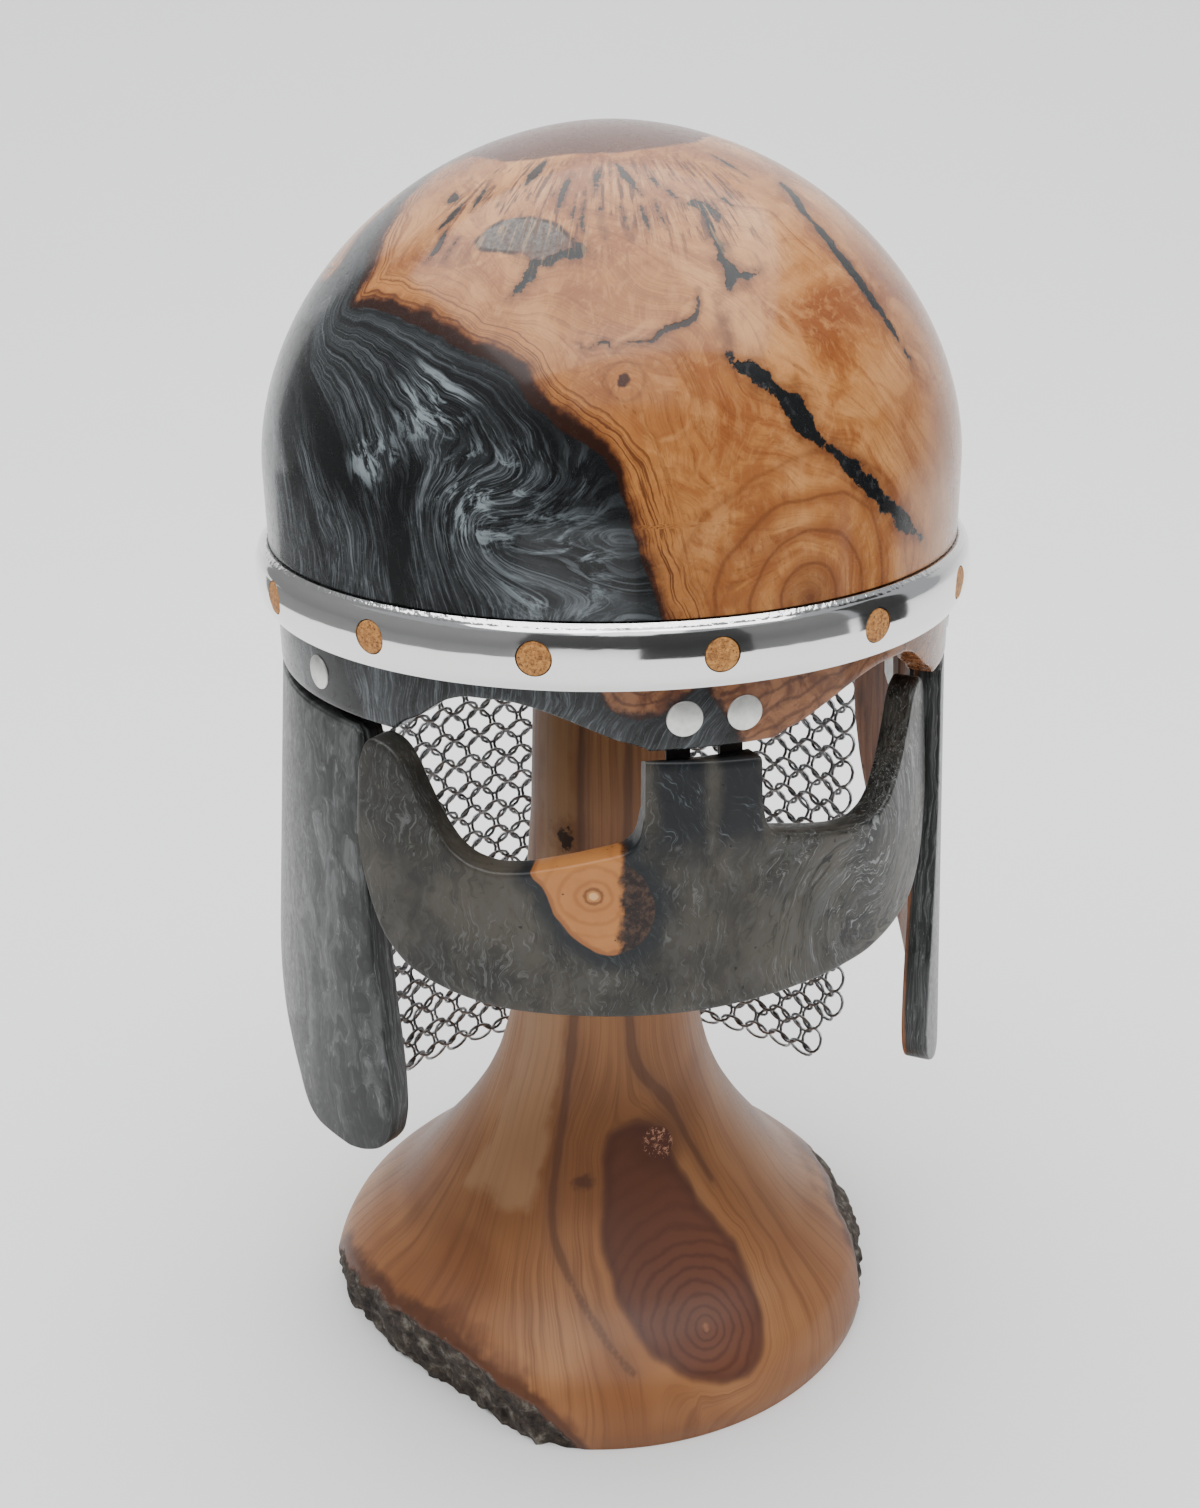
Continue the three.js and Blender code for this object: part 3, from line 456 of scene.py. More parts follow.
# Under the band: a knot as an angle and a height, and the outlines of the wood there
LOW_KNOT = (-10.5, 284.0)
LOW_KNOT_EDGE = [(-17, 296), (-17.1, 281.2), (-16.1, 277.3), (-14.5, 274.6), (-11.2, 272.6), (-7.8, 274.2),
                 (-5.5, 277.6), (-2.3, 282), (-2, 296)]
LOW_LEFT_EDGE = [(-1.6, 296), (-1.2, 281), (0.1, 276.5), (1.4, 272), (2.8, 268.5), (4.2, 262), (4.2, 255),
                 (75, 255), (60, 262), (56.5, 270), (60, 280), (75, 296)]
RESIN_SWIRL = np.array((-62.0, -95.0, 334.0))
# Pale clouds in the resin as centres with sizes
RESIN_CLOUDS = [((-62, -95, 336), 17), ((-44, -105, 318), 18), ((-74, -80, 362), 14), ((-88, -68, 345), 10)]


def dome_rows(radius, rise, turns):
    share = np.cos(turns) ** (2 / DOME_POWER)
    height = np.sin(turns) ** (2 / DOME_POWER)
    return np.maximum(radius * share, 0), DOME_START + rise * height


PROFILE_TURNS = np.linspace(0, math.pi / 2 - 1e-9, 400)
PROFILE_R, PROFILE_Z = dome_rows(SHELL_R, DOME_RISE, PROFILE_TURNS)
PROFILE_LENGTH = np.concatenate([[0], np.cumsum(np.hypot(np.diff(PROFILE_R), np.diff(PROFILE_Z)))])


def dome_chart(points):
    """Flat map of the dome: the way from the top along the surface, in the point's direction."""
    points = np.asarray(points, float)
    z = points[:, 2]
    over = np.interp(z, PROFILE_Z, PROFILE_LENGTH[-1] - PROFILE_LENGTH)
    over = np.where(z < DOME_START, PROFILE_LENGTH[-1] + DOME_START - z, over)
    t = np.arctan2(points[:, 0], -points[:, 1])
    return np.stack([over * np.sin(t), -over * np.cos(t)], -1)


EYE_ARCH_START = 8.4
EYE_ARCH_SPAN = 43.0
EYE_ARCH_HEIGHT = 14.4
EYE_ARCH = [
    (0, -0.14), (0.06, 0.09), (0.14, 0.24), (0.24, 0.49), (0.34, 0.73), (0.44, 0.91), (0.54, 1),
    (0.66, 1), (0.74, 0.89), (0.8, 0.69), (0.87, 0.4), (0.94, 0.19), (1, -0.14),
]


def shell_fields(p):
    """Values at the points of the shell that its material works from."""
    z = p[:, 2]
    angle = np.degrees(np.arctan2(p[:, 0], -p[:, 1]))
    chart = dome_chart(p)
    rough = waves(p, 9, 3) * 0.5 + waves(p, 3.2, 4) * 0.22
    edge = curve_points(DOME_EDGE + WEDGE_BACK, 5)
    outer = [(-60, 250), (-100, 280), (-160, 300), (-260, 200), (-300, 0), (-260, -200), (-100, -290),
             (-18, -270)]
    outline = np.concatenate([dome_chart(edge), np.array(outer, float)])
    gap = line_distance(p, edge)
    side = np.where(inside_outline(chart, outline), -gap, gap) + rough
    # Under the band the wood and resin meet along other lines
    flat = np.stack([angle, z], -1)
    arc = np.stack([angle * SHELL_ARC, z], -1)
    low = np.full(len(p), -1e3)
    for shape in (LOW_KNOT_EDGE, LOW_LEFT_EDGE):
        low = np.maximum(low, inward_gap(arc, flat, shape * np.array([SHELL_ARC, 1]), shape))
    low = low + rough * 0.6
    below = z < BAND_Z
    wood = np.where(below, low, side)
    crack = np.full(len(p), 1e3)
    wander = rough * 0.9
    for line in (CRACK_LONG, CRACK_UPPER, CRACK_BRANCH, CRACK_BLOT, PATCH_STEM, PATCH_SHADE, CRACK_MAIN):
        smooth = curve_points(line, 5)
        wider = 0.0 if line is CRACK_MAIN else THIN_CRACK_GAIN
        crack = np.minimum(crack, line_distance(p, smooth[:, :3], np.maximum(smooth[:, 3], 0.1) + wider))
    crack = crack + wander
    smooth = curve_points(SQUIGGLE, 4)
    mark = line_distance(p, smooth[:, :3], np.maximum(smooth[:, 3], 0.1))
    for a, b, half in DASHES:
        a = np.array(a)
        b = np.array(b)
        middle = (a + b) / 2 + RNG.normal(size=3) * 0.7
        dash = curve_points([(*a, 0.1), (*middle, half), (*b, 0.1)], 4)
        mark = np.minimum(mark, line_distance(p, dash[:, :3], dash[:, 3]))
    mark = mark + wander * 0.35
    cap = curve_points(PATCH_CAP, 4, True)
    patch = inward_gap(p, chart, cap, dome_chart(cap), z > 380) + rough * 0.5
    heart = curve_points(HEARTWOOD, 4, True)
    purple = inward_gap(p, chart, heart, dome_chart(heart), z > 400) + rough * 0.7
    # Growth lines follow the resin edge, the ring centre and the knots
    to_ring = np.linalg.norm(p - np.array(RING_CENTRE), axis=1)
    to_knot = np.linalg.norm(p - np.array(SMALL_KNOT), axis=1)
    to_crown = np.linalg.norm(p - np.array(CROWN_KNOT), axis=1)
    away = np.abs(side)
    soft = 22.0
    grain = -soft * np.log(np.exp(-away / soft) + np.exp(-(to_ring - 8) / soft)
                           + 0.4 * np.exp(-(to_knot + 8) / soft) + 0.4 * np.exp(-(to_crown + 8) / soft))
    grain = grain + waves(p, 46, 11) * 5 + waves(p, 20, 12) * 1.1
    low_grain = np.hypot(arc[:, 0] - LOW_KNOT[0] * SHELL_ARC, (z - LOW_KNOT[1]) * 1.25)
    low_grain = np.where(angle > 0, z * 0.8 - angle * 0.5, low_grain) + waves(p, 18, 13) * 1.2
    grain = np.where(below, low_grain, grain)
    along = np.degrees(np.arctan2(p[:, 2] - 330, p[:, 0])) * 1.5 + angle
    # Resin flow: across the streaks, along them and a third way
    lean = np.clip((z - 300) / 100, 0, 1)
    twist = 0.9 * np.exp(-(np.linalg.norm(p - RESIN_SWIRL, axis=1) / 20) ** 2)
    beside = np.exp(-away / 30)
    u = (angle * DOME_ARC + 26 * lean ** 1.5) * (1 - beside) + (-1.3 * away - 60) * beside
    centre = (math.degrees(math.atan2(RESIN_SWIRL[0], -RESIN_SWIRL[1])) * DOME_ARC, RESIN_SWIRL[2])
    flow = np.stack([*swirled(u, z + 0.15 * angle, centre, twist), np.zeros(len(p))], -1)
    reach = np.hypot(p[:, 0], p[:, 1])
    fan_here = np.clip((reach - 40) / 8, 0, 1) * np.clip((86 - reach) / 16, 0, 1)
    fan_here = fan_here * np.clip((angle + 66) / 10, 0, 1) * np.clip((34 - angle) / 14, 0, 1) * (z > 380)
    fan = np.stack([angle, reach, fan_here], -1)
    cloud = np.zeros(len(p))
    for centre, size in RESIN_CLOUDS:
        cloud = np.maximum(cloud, np.exp(-(np.linalg.norm(p - np.array(centre), axis=1) / size) ** 2))
    return {
        "cloud": cloud, "wood": wood, "crack": crack, "mark": mark, "patch": patch, "purple": purple,
        "grain": grain, "along": along, "flow": flow, "to_ring": to_ring, "to_knot": to_knot,
        "below": below.astype(float), "away": away, "fan": fan,
    }


def shell_piece():
    columns = 480
    angles = np.arange(columns) * 360 / columns - 180
    share = (np.abs(angles) - EYE_ARCH_START) / EYE_ARCH_SPAN
    arch = np.where((share > 0) & (share < 1), np.maximum(rows_value(EYE_ARCH, np.clip(share, 0, 1)), 0), 0)
    foot = RIM_Z + EYE_ARCH_HEIGHT * arch
    rings = []
    for drop, inward in ((0, 4.6), (0, 1.0), (0.08, 0.62), (0.3, 0.3), (0.62, 0.08), (1.0, 0)):
        rings.append(polar(angles, BELOW_R - inward, foot + drop))
    for s in np.linspace(0, 1, 24)[1:]:
        rings.append(polar(angles, BELOW_R, foot + 1 + (SEAT_Z - foot - 1) * s))
    for z in np.concatenate([[SEAT_Z + 0.01], np.linspace(SEAT_Z, DOME_START, 13)[1:-1]]):
        rings.append(polar(angles, SHELL_R, np.full(columns, z)))
    radii, heights = dome_rows(SHELL_R, DOME_RISE, np.linspace(0, math.pi / 2, 112)[:-1])
    for r, z in zip(radii, heights):
        rings.append(polar(angles, r, np.full(columns, z)))
    outer = np.concatenate(rings)
    outer_rows = len(rings)
    rings = []
    for drop, inward in ((0, -4.6), (0, -1.0), (0.3, -0.3), (1.0, 0)):
        rings.append(polar(angles, INNER_R - inward, foot + drop))
    for s in np.linspace(0, 1, 7)[1:]:
        rings.append(polar(angles, INNER_R, foot + 1 + (DOME_START - foot - 1) * s))
    radii, heights = dome_rows(INNER_R, INNER_RISE, np.linspace(0, math.pi / 2, 20)[1:-1])
    for r, z in zip(radii, heights):
        rings.append(polar(angles, r, np.full(columns, z)))
    inner = np.concatenate(rings)
    inner_rows = len(rings)
    tips = np.array([(0, 0, DOME_START + DOME_RISE), (0, 0, DOME_START + INNER_RISE)], float)
    points = np.concatenate([outer, inner, tips])
    base = len(outer)
    faces = [grid_faces(outer_rows, columns, True), grid_faces(inner_rows, columns, True, base, True)]
    faces.append(fan_faces((outer_rows - 1) * columns, columns, len(points) - 2))
    faces.append(fan_faces(base + (inner_rows - 1) * columns, columns, len(points) - 1, True))
    c = np.arange(columns)
    n = (c + 1) % columns
    faces.append(np.stack([c, base + c, base + n, n], -1))
    obj = make_mesh("shell", points, faces, fields=shell_fields(points))
    sharpen(obj, 50)
    return obj


def shell_material():
    s = Shader("burl_and_resin")
    p = s.position()
    wood_side = s.field("wood")
    grain = s.field("grain")
    along = s.field("along")
    away = s.field("away")
    resin = resin_colour(s, s.vector_field("flow"), RESIN_BLACK, RESIN_GREY, PEARL)
    curl = s.noise(s.scaled(s.vector_field("flow"), (0.24, 0.075, 0.2)), 1.0, 6.0, 0.7, 1.3)
    cloudy = s.step(s.field("cloud") + curl * 0.5, 0.5, 1.1) * s.step(curl, 0.5, 0.62)
    resin = s.mix(cloudy * 0.8, resin, (0.25, 0.29, 0.31))
    wood = wood_colour(s, grain, along, p)
    # Concentric growth rings low on the front
    near_ring = s.step(s.field("to_ring"), 62.0, 22.0)
    ring_noise = s.field("to_ring") * 0.19 + s.noise(p, 0.03, 2.0) * 2.4
    ring_line = s.math("PINGPONG", ring_noise, 1.0)
    wood = s.mix(s.step(ring_line, 0.2, 0.8) * near_ring * 0.6, wood, WOOD_MID)
    wood = s.mix(s.step(ring_line, 0.8, 0.98) * near_ring * 0.6, wood, (0.13, 0.04, 0.014))
    wood = s.mix(s.step(s.field("to_ring"), 14.0, 3.0) * 0.5, wood, WOOD_DARK)
    knot_line = s.math("PINGPONG", s.field("to_knot") * 0.45 + s.noise(p, 0.15, 2.0), 1.0)
    near_knot = s.step(s.field("to_knot"), 8.0, 3.0)
    wood = s.mix(s.step(knot_line, 0.45, 0.95) * near_knot * 0.6, wood, WOOD_DARK)
    core = s.field("to_knot") + s.noise(p, 0.4, 3.0) * 2.5
    wood = s.mix(s.step(core, 3.6, 2.6), wood, (0.05, 0.018, 0.01))
    # Contour lines beside the resin
    contour = s.noise(s.join(away * 1.15, along * 0.012, 9.0), 1.0, 3.0, 0.6)
    beside = s.step(away, 17.0, 7.0)
    wood = s.mix(beside * 0.55, wood, WOOD_GOLD)
    wood = s.mix(s.step(contour, 0.48, 0.6) * beside * 0.85, wood, WOOD_DARK)
    bark = s.noise(p, 0.12, 5.0, 0.65)
    px, _, pz = s.split(p)
    wide = s.step(px, -20.0, -34.0) * s.step(px, -92.0, -76.0) * s.step(pz, 335.0, 347.0)
    inward = wood_side + wide * -3.2
    wood = s.mix(s.step(inward + bark * 9.0, 10.0, 5.0) * 0.9, wood, WOOD_DARK)
    wood = s.mix(s.step(inward + bark * 7.0, 5.8, 3.6), wood, BARK_BROWN)
    # Redder wood toward the wearer's left
    redder = s.step(px, 42.0, 96.0) * s.step(s.noise(p, 0.025, 3.0, 0.6), 0.32, 0.62)
    wood = s.mix(redder * 0.7, wood, (0.19, 0.058, 0.018))
    # Darker burl with bark pockets under the band
    low = s.mix(s.step(s.noise(p, 0.1, 5.0, 0.65, 1.2), 0.38, 0.62), (0.25, 0.105, 0.044),
                (0.11, 0.038, 0.016))
    low_ring = s.math("PINGPONG", grain * 0.45 + s.noise(p, 0.12, 3.0) * 1.8, 1.0)
    low = s.mix(s.step(low_ring, 0.6, 0.95) * 0.6, low, (0.05, 0.016, 0.009))
    pocket = wood_side + s.noise(p, 0.16, 5.0, 0.7) * 9.0
    low = s.mix(s.step(pocket, 7.4, 4.6), low, (0.022, 0.008, 0.006))
    wood = s.mix(s.field("below"), wood, low)
    # Heartwood over the crown
    heart = s.mix(s.noise(p, 0.05, 4.0, 0.6), (0.045, 0.016, 0.01), (0.15, 0.055, 0.033))
    wood = s.mix(s.step(s.field("purple"), -0.6, 1.2), wood, heart)
    # Grey patch with a dark rim
    speck = s.noise(p, 0.8, 5.0, 0.7)
    grey = s.ramp(speck, [(0.35, (0.04, 0.034, 0.03)), (0.62, (0.15, 0.128, 0.11))])
    patch = s.field("patch")
    wood = s.mix(s.step(patch, -0.4, 0.2), wood, grey)
    rim = s.step(patch, -1.2, -0.1) * s.step(patch, 1.1, 0.3)
    wood = s.mix(rim * s.step(s.noise(p, 0.12, 2.0), 0.36, 0.5), wood, BARK_BROWN)
    # Stain round the cracks, then the cracks and marks
    ragged = (s.noise(p, 0.3, 5.0, 0.72) - 0.5) * 5.0 + 0.3
    swell = (s.noise(p, 0.055, 2.0) - 0.38) * 6.0
    crack = s.field("crack") + (ragged + swell)
    stain = s.step(crack + s.noise(p, 0.07, 4.0, 0.65) * 10.0, 9.6, 3.6)
    wood = s.mix(stain * 0.8, wood, (0.12, 0.036, 0.013))
    filler = s.mix(s.step(s.noise(p, 0.4, 4.0), 0.55, 0.75), RESIN_BLACK, (0.035, 0.037, 0.04))
    wood = s.mix(s.step(crack, 0.25, -0.2), wood, filler)
    mark = s.field("mark") + (s.noise(p, 0.5, 4.0, 0.65) - 0.5) * 1.8
    # Fine split lines that run down from the crown: dark splits, and pale fibre lines that also carry
    # painted glints
    fan_x, fan_y, fan_here = s.split(s.vector_field("fan"))
    thin = s.noise(s.join(fan_x * 0.75, fan_y * 0.075, 0.0), 1.0, 3.0, 0.6, 0.4)
    broken = s.noise(p, 0.09, 3.0, 0.6)
    split_line = s.step(thin, 0.53, 0.59) * s.step(broken, 0.4, 0.52) * fan_here
    pale_fibre_and_glint_line = s.step(thin, 0.46, 0.38) * s.step(broken, 0.38, 0.5) * fan_here
    # The pale lines are pale fibre with painted glints on it
    wood = s.mix(pale_fibre_and_glint_line * 0.4, wood, (0.6, 0.33, 0.14))
    wood = s.mix(split_line * 0.9, wood, (0.09, 0.03, 0.013))
    wood = s.mix(s.step(mark, 1.8, 0.2) * 0.5, wood, WOOD_DARK)
    wood = s.mix(s.step(mark, 0.28, -0.1), wood, (0.02, 0.011, 0.008))
    colour = s.mix(s.step(wood_side, -0.35, 0.35), resin, wood)
    # A dull dark halo on the resin beside the bark
    halo = s.step(wood_side, -9.0, -0.5) * s.step(wood_side, 0.4, -0.2)
    colour = s.mix(halo * 0.6, colour, RESIN_BLACK)
    height = s.step(mark, 0.4, -0.3) * -0.35 + s.step(crack, 0.2, -0.5) * -0.25
    height = height + s.noise(p, 0.08, 2.0) * 0.25
    s.set(Base_Color=colour, Roughness=s.ramp(s.noise(p, 0.5, 3.0), [(0.3, 0.2), (0.7, 0.3)]),
          Normal=s.bump(height, 0.0004, 0.5), Coat_Weight=0.26, Coat_Roughness=0.09, Specular_IOR_Level=0.2)
    return s.material


BAND_ROWS = [(-1, 2.5), (-0.66, 0.9), (-0.3, 0.25), (0.05, 0), (0.45, 0.3), (0.74, 1.3), (1, 3.5)]


def band_radius(z):
    """Outer radius of the band by height."""
    up = np.where(z < BAND_Z, (z - BAND_Z) / BAND_DOWN, (z - BAND_Z) / BAND_UP)
    return BAND_R - rows_value(BAND_ROWS, up)


def band_piece():
    """Ring whose grid runs round each inlay's hole."""
    around = 96
    out = 16
    half_angle = 180 / INLAYS
    half_width = math.radians(half_angle) * BAND_R
    hole = INLAY_R + 0.3
    # Places along the sector's border, its four corners among them
    long_side = np.linspace(-1, 1, 35)[:-1]
    short_side = np.linspace(-1, 1, 15)[:-1]
    ones = np.ones(34)
    few = np.ones(14)
    edge = np.concatenate([np.stack([few, short_side], -1), np.stack([-long_side, ones], -1),
                           np.stack([-few, -short_side], -1), np.stack([long_side, -ones], -1)])
    turn = np.arctan2(edge[:, 1] * 0.72, edge[:, 0])
    rim_z = edge[:, 1] * np.where(edge[:, 1] > 0, BAND_UP, BAND_DOWN)
    rim = np.stack([edge[:, 0] * half_width, rim_z], -1)
    ring = np.stack([np.cos(turn), np.sin(turn)], -1) * hole
    spread = np.linspace(0, 1, out) ** 1.15
    patch = ring[None] + (rim - ring)[None] * spread[:, None, None]
    points = []
    faces = []
    for i in range(INLAYS):
        start = sum(len(q) for q in points)
        x = patch[:, :, 0].ravel()
        z = BAND_Z + patch[:, :, 1].ravel()
        angle = 360 * i / INLAYS + np.degrees(x / BAND_R)
        points.append(polar(angle, band_radius(z), z))
        faces.append(grid_faces(out, around, True, start))
        start = sum(len(q) for q in points)
        rows = []
        for inward in (0.0, -0.5, -2.7):
            z = BAND_Z + ring[:, 1]
            angle = 360 * i / INLAYS + np.degrees(ring[:, 0] / BAND_R)
            rows.append(polar(angle, band_radius(z) + inward, z))
        points.append(np.concatenate(rows))
        faces.append(grid_faces(3, around, True, start, True))
        faces.append([start + 2 * around + np.arange(around)])
    start = sum(len(q) for q in points)
    segments = 360
    angles = np.arange(segments) * 360 / segments
    low = BAND_Z - BAND_DOWN
    high = BAND_Z + BAND_UP
    rows = [(BAND_R - 2.5, low), (BAND_IN, low), (BAND_IN, high), (BAND_R - 3.5, high)]
    points.append(np.concatenate([polar(angles, r, np.full(segments, z)) for r, z in rows]))
    faces.append(grid_faces(4, segments, True, start))
    return make_mesh("polished_band", np.concatenate(points), faces)


def band_material():
    s = Shader("polished_aluminium")
    p = s.position()
    z = s.split(p)[2]
    top = s.step(z, BAND_Z + 8.0, BAND_Z + 8.8)
    ripple = s.noise(p, 0.55, 2.0, 0.5)
    soft = s.noise(s.scaled(p, (1, 1, 2.5)), 0.035, 2.0, 0.5)
    line = s.step(z, BAND_Z - 6.9, BAND_Z - 6.5) * s.step(z, BAND_Z - 5.6, BAND_Z - 6.2)
    height = top * (ripple * 0.8) + (soft * 0.5 + line * 0.05)
    scratch = s.noise(s.scaled(p, (0.2, 0.2, 6.0)), 1.0, 3.0, 0.7)
    s.set(Base_Color=(0.8, 0.8, 0.79), Metallic=1.0, Roughness=s.ramp(scratch, [(0.3, 0.06), (0.75, 0.12)]),
          Normal=s.bump(height, 0.0006, 0.6))
    return s.material


def radial_piece(name, angle, z, rows, sides):
    """Round piece along a radial line, from (out, radius) rows."""
    t = math.radians(angle)
    axis = np.array([math.sin(t), -math.cos(t), 0])
    side = np.array([math.cos(t), math.sin(t), 0])
    turn = np.arange(sides) / sides * 2 * math.pi
    rings = []
    for out, radius in rows:
        ring = axis * out + side * (radius * np.cos(turn))[:, None]
        ring = ring + np.array([0, 0, 1]) * (z + radius * np.sin(turn))[:, None]
        rings.append(ring)
    ends = np.array([axis * rows[0][0] + (0, 0, z), axis * rows[-1][0] + (0, 0, z)])
    points = np.concatenate(rings + [ends])
    faces = [grid_faces(len(rows), sides, True), fan_faces(0, sides, len(points) - 2, True),
             fan_faces((len(rows) - 1) * sides, sides, len(points) - 1)]
    obj = make_mesh(name, points, faces)
    sharpen(obj, 40)
    return obj


def disc_material():
    s = Shader("satin_aluminium")
    p = s.position()
    x, y, z = s.split(p)
    brush = s.noise(s.join(x * 0.12, y * 0.12, z * 3.2), 1.0, 4.0, 0.7)
    spots = s.noise(p, 0.35, 3.0)
    colour = s.mix(s.step(spots, 0.4, 0.7), (0.78, 0.78, 0.75), (0.66, 0.66, 0.63))
    s.set(Base_Color=colour, Metallic=0.85, Roughness=s.ramp(brush, [(0.3, 0.34), (0.7, 0.5)]),
          Normal=s.bump(brush, 0.00005, 0.5))
    return s.material


def cork_material():
    s = Shader("cork")
    p = s.position()
    grains = s.cells(p, 1.15)
    tone = s.noise(p, 0.9, 4.0, 0.7)
    base = s.ramp(tone, [(0.34, (0.17, 0.06, 0.012)), (0.5, (0.43, 0.175, 0.035)),
                         (0.68, (0.62, 0.3, 0.08))])
    pits = s.step(s.noise(p, 1.7, 2.0), 0.6, 0.68)
    colour = s.mix(pits, base, (0.03, 0.015, 0.008))
    s.set(Base_Color=colour, Roughness=0.62, Normal=s.bump(grains + tone, 0.0003, 0.5))
    return s.material


def leather_material():
    s = Shader("dark_leather")
    p = s.position()
    tone = s.noise(p, 0.25, 4.0, 0.6)
    colour = s.mix(tone, (0.016, 0.012, 0.011), (0.05, 0.036, 0.03))
    s.set(Base_Color=colour, Roughness=0.5, Normal=s.bump(s.cells(p, 1.6), 0.0002, 0.6))
    return s.material


def mail_material():
    s = Shader("mail_wire")
    p = s.position()
    tone = s.noise(p, 0.16, 4.0, 0.65)
    colour = s.ramp(tone, [(0.35, (0.14, 0.14, 0.145)), (0.6, (0.36, 0.365, 0.375))])
    dull = s.noise(p, 1.3, 3.0)
    s.set(Base_Color=colour, Metallic=1.0, Roughness=s.ramp(dull, [(0.35, 0.26), (0.7, 0.46)]),
          Normal=s.bump(dull, 0.0001, 0.5))
    return s.material


# Outline tables of the guards: shares of the half angle and of the depth
FACE_HALF = 55.4
FACE_DEPTH = 113.6
FACE_R = 111.5
FACE_FLARE = 0.1
FACE_BEVEL = 1.1
FACE_SECTION_STEPS = 44
STUB_HALF = 9.2
STUB_TOP = 33.8
STUB_SLANT = 1.5
STUB_SHIFT = 0.9
STUB_SHIFT_REACH = 22.0
STUB_BACK_DROP = 1.9
STUB_BACK_SLANT = 1.4
FACE_TOP = [
    (0.168, 0.436), (0.179, 0.489), (0.197, 0.517), (0.224, 0.533), (0.29, 0.549), (0.4, 0.575),
    (0.484, 0.593), (0.56, 0.6), (0.623, 0.59), (0.677, 0.563), (0.726, 0.515), (0.773, 0.453),
    (0.812, 0.396), (0.857, 0.336), (0.893, 0.314), (0.935, 0.307), (0.965, 0.316), (1, 0.4),
]
FACE_BOTTOM = [
    (0, 1), (0.16, 0.998), (0.36, 0.994), (0.523, 0.99), (0.623, 0.977), (0.722, 0.955), (0.81, 0.922),
    (0.857, 0.886), (0.9, 0.836), (0.948, 0.74), (0.984, 0.628), (1, 0.54),
]
FACE_PIVOT = np.array([0, -110.0, RIM_Z])
FACE_SHIFT = np.array([-4.0, -1.7, 0])
FACE_TURN = (3.6, 0, 1.2)
FACE_INSERT = [(-26.5, 236), (-25.4, 225.8), (-23.5, 221.0), (-21.4, 211.7), (-18.1, 204.5), (-14.2, 200.6),
               (-10.4, 202.6), (-7.8, 208.5), (-7.3, 216.0), (-8.9, 224.5), (-11.6, 231), (-11.8, 236)]
# Places on the face guard: the insert's knot, dark stretches between angles, and the swirl in millimetres
FACE_KNOT = (-16.2, 219.5)
FACE_SHADES = [(-7.0, 0.5), (2.6, 9.6)]
FACE_SWIRL = (58.0, 206.0)
CHEEK_FRONT = 57.4
CHEEK_REAR = 105.0
CHEEK_TOP = 32.8
CHEEK_BOTTOM = 179.0
CHEEK_R = 112.0
CHEEK_FLARE = 0.0625
CHEEK_BEVEL = 1.0
CHEEK_PIVOT_R = 108.0
CHEEK_LEAN = 1.4
CHEEK_ROWS = [
    (0, 0.04, 0.97), (0.012, 0.01, 0.99), (0.035, 0, 1), (0.16, -0.006, 1), (0.29, -0.015, 0.995),
    (0.42, -0.04, 0.96), (0.53, -0.066, 0.9), (0.62, -0.09, 0.83), (0.71, -0.118, 0.73), (0.8, -0.139, 0.6),
    (0.87, -0.147, 0.48), (0.92, -0.137, 0.4), (0.96, -0.1, 0.345), (0.985, -0.03, 0.29), (1, 0.06, 0.2),
]


def hang(points, pivot, turn, shift):
    """Points of a guard moved to the place where it hangs."""
    rx, ry, rz = (math.radians(a) for a in turn)
    turned = Matrix.Rotation(rz, 3, "Z") @ Matrix.Rotation(ry, 3, "Y") @ Matrix.Rotation(rx, 3, "X")
    m = np.array(turned)
    return (points - pivot) @ m.T + pivot + shift


def face_radius(z):
    return FACE_R + FACE_FLARE * (RIM_Z - z)


def cheek_radius(z):
    return CHEEK_R + CHEEK_FLARE * (RIM_Z - z)


def face_section(low, high, thin, back_drop):
    """Closed upright section of the face guard, (radius, z), with round corners."""
    corner = np.radians([0, 30, 60, 90])
    tuck = FACE_BEVEL * (1 - np.sin(corner))
    rise = FACE_BEVEL * (1 - np.cos(corner))
    shares = np.linspace(0, 1, FACE_SECTION_STEPS)[1:-1]
    inward = np.concatenate([tuck, np.zeros(len(shares)), rise])

    def heights(top):
        middle = low + FACE_BEVEL + (top - low - 2 * FACE_BEVEL) * shares
        return np.concatenate([low + rise, middle, top - tuck])

    z = heights(high)
    outside = np.stack([face_radius(z) - thin - inward, z], -1)
    z = heights(high - back_drop)
    inside = np.stack([face_radius(z) - GUARD_WALL + thin + inward, z], -1)
    return np.concatenate([outside, inside[::-1]])


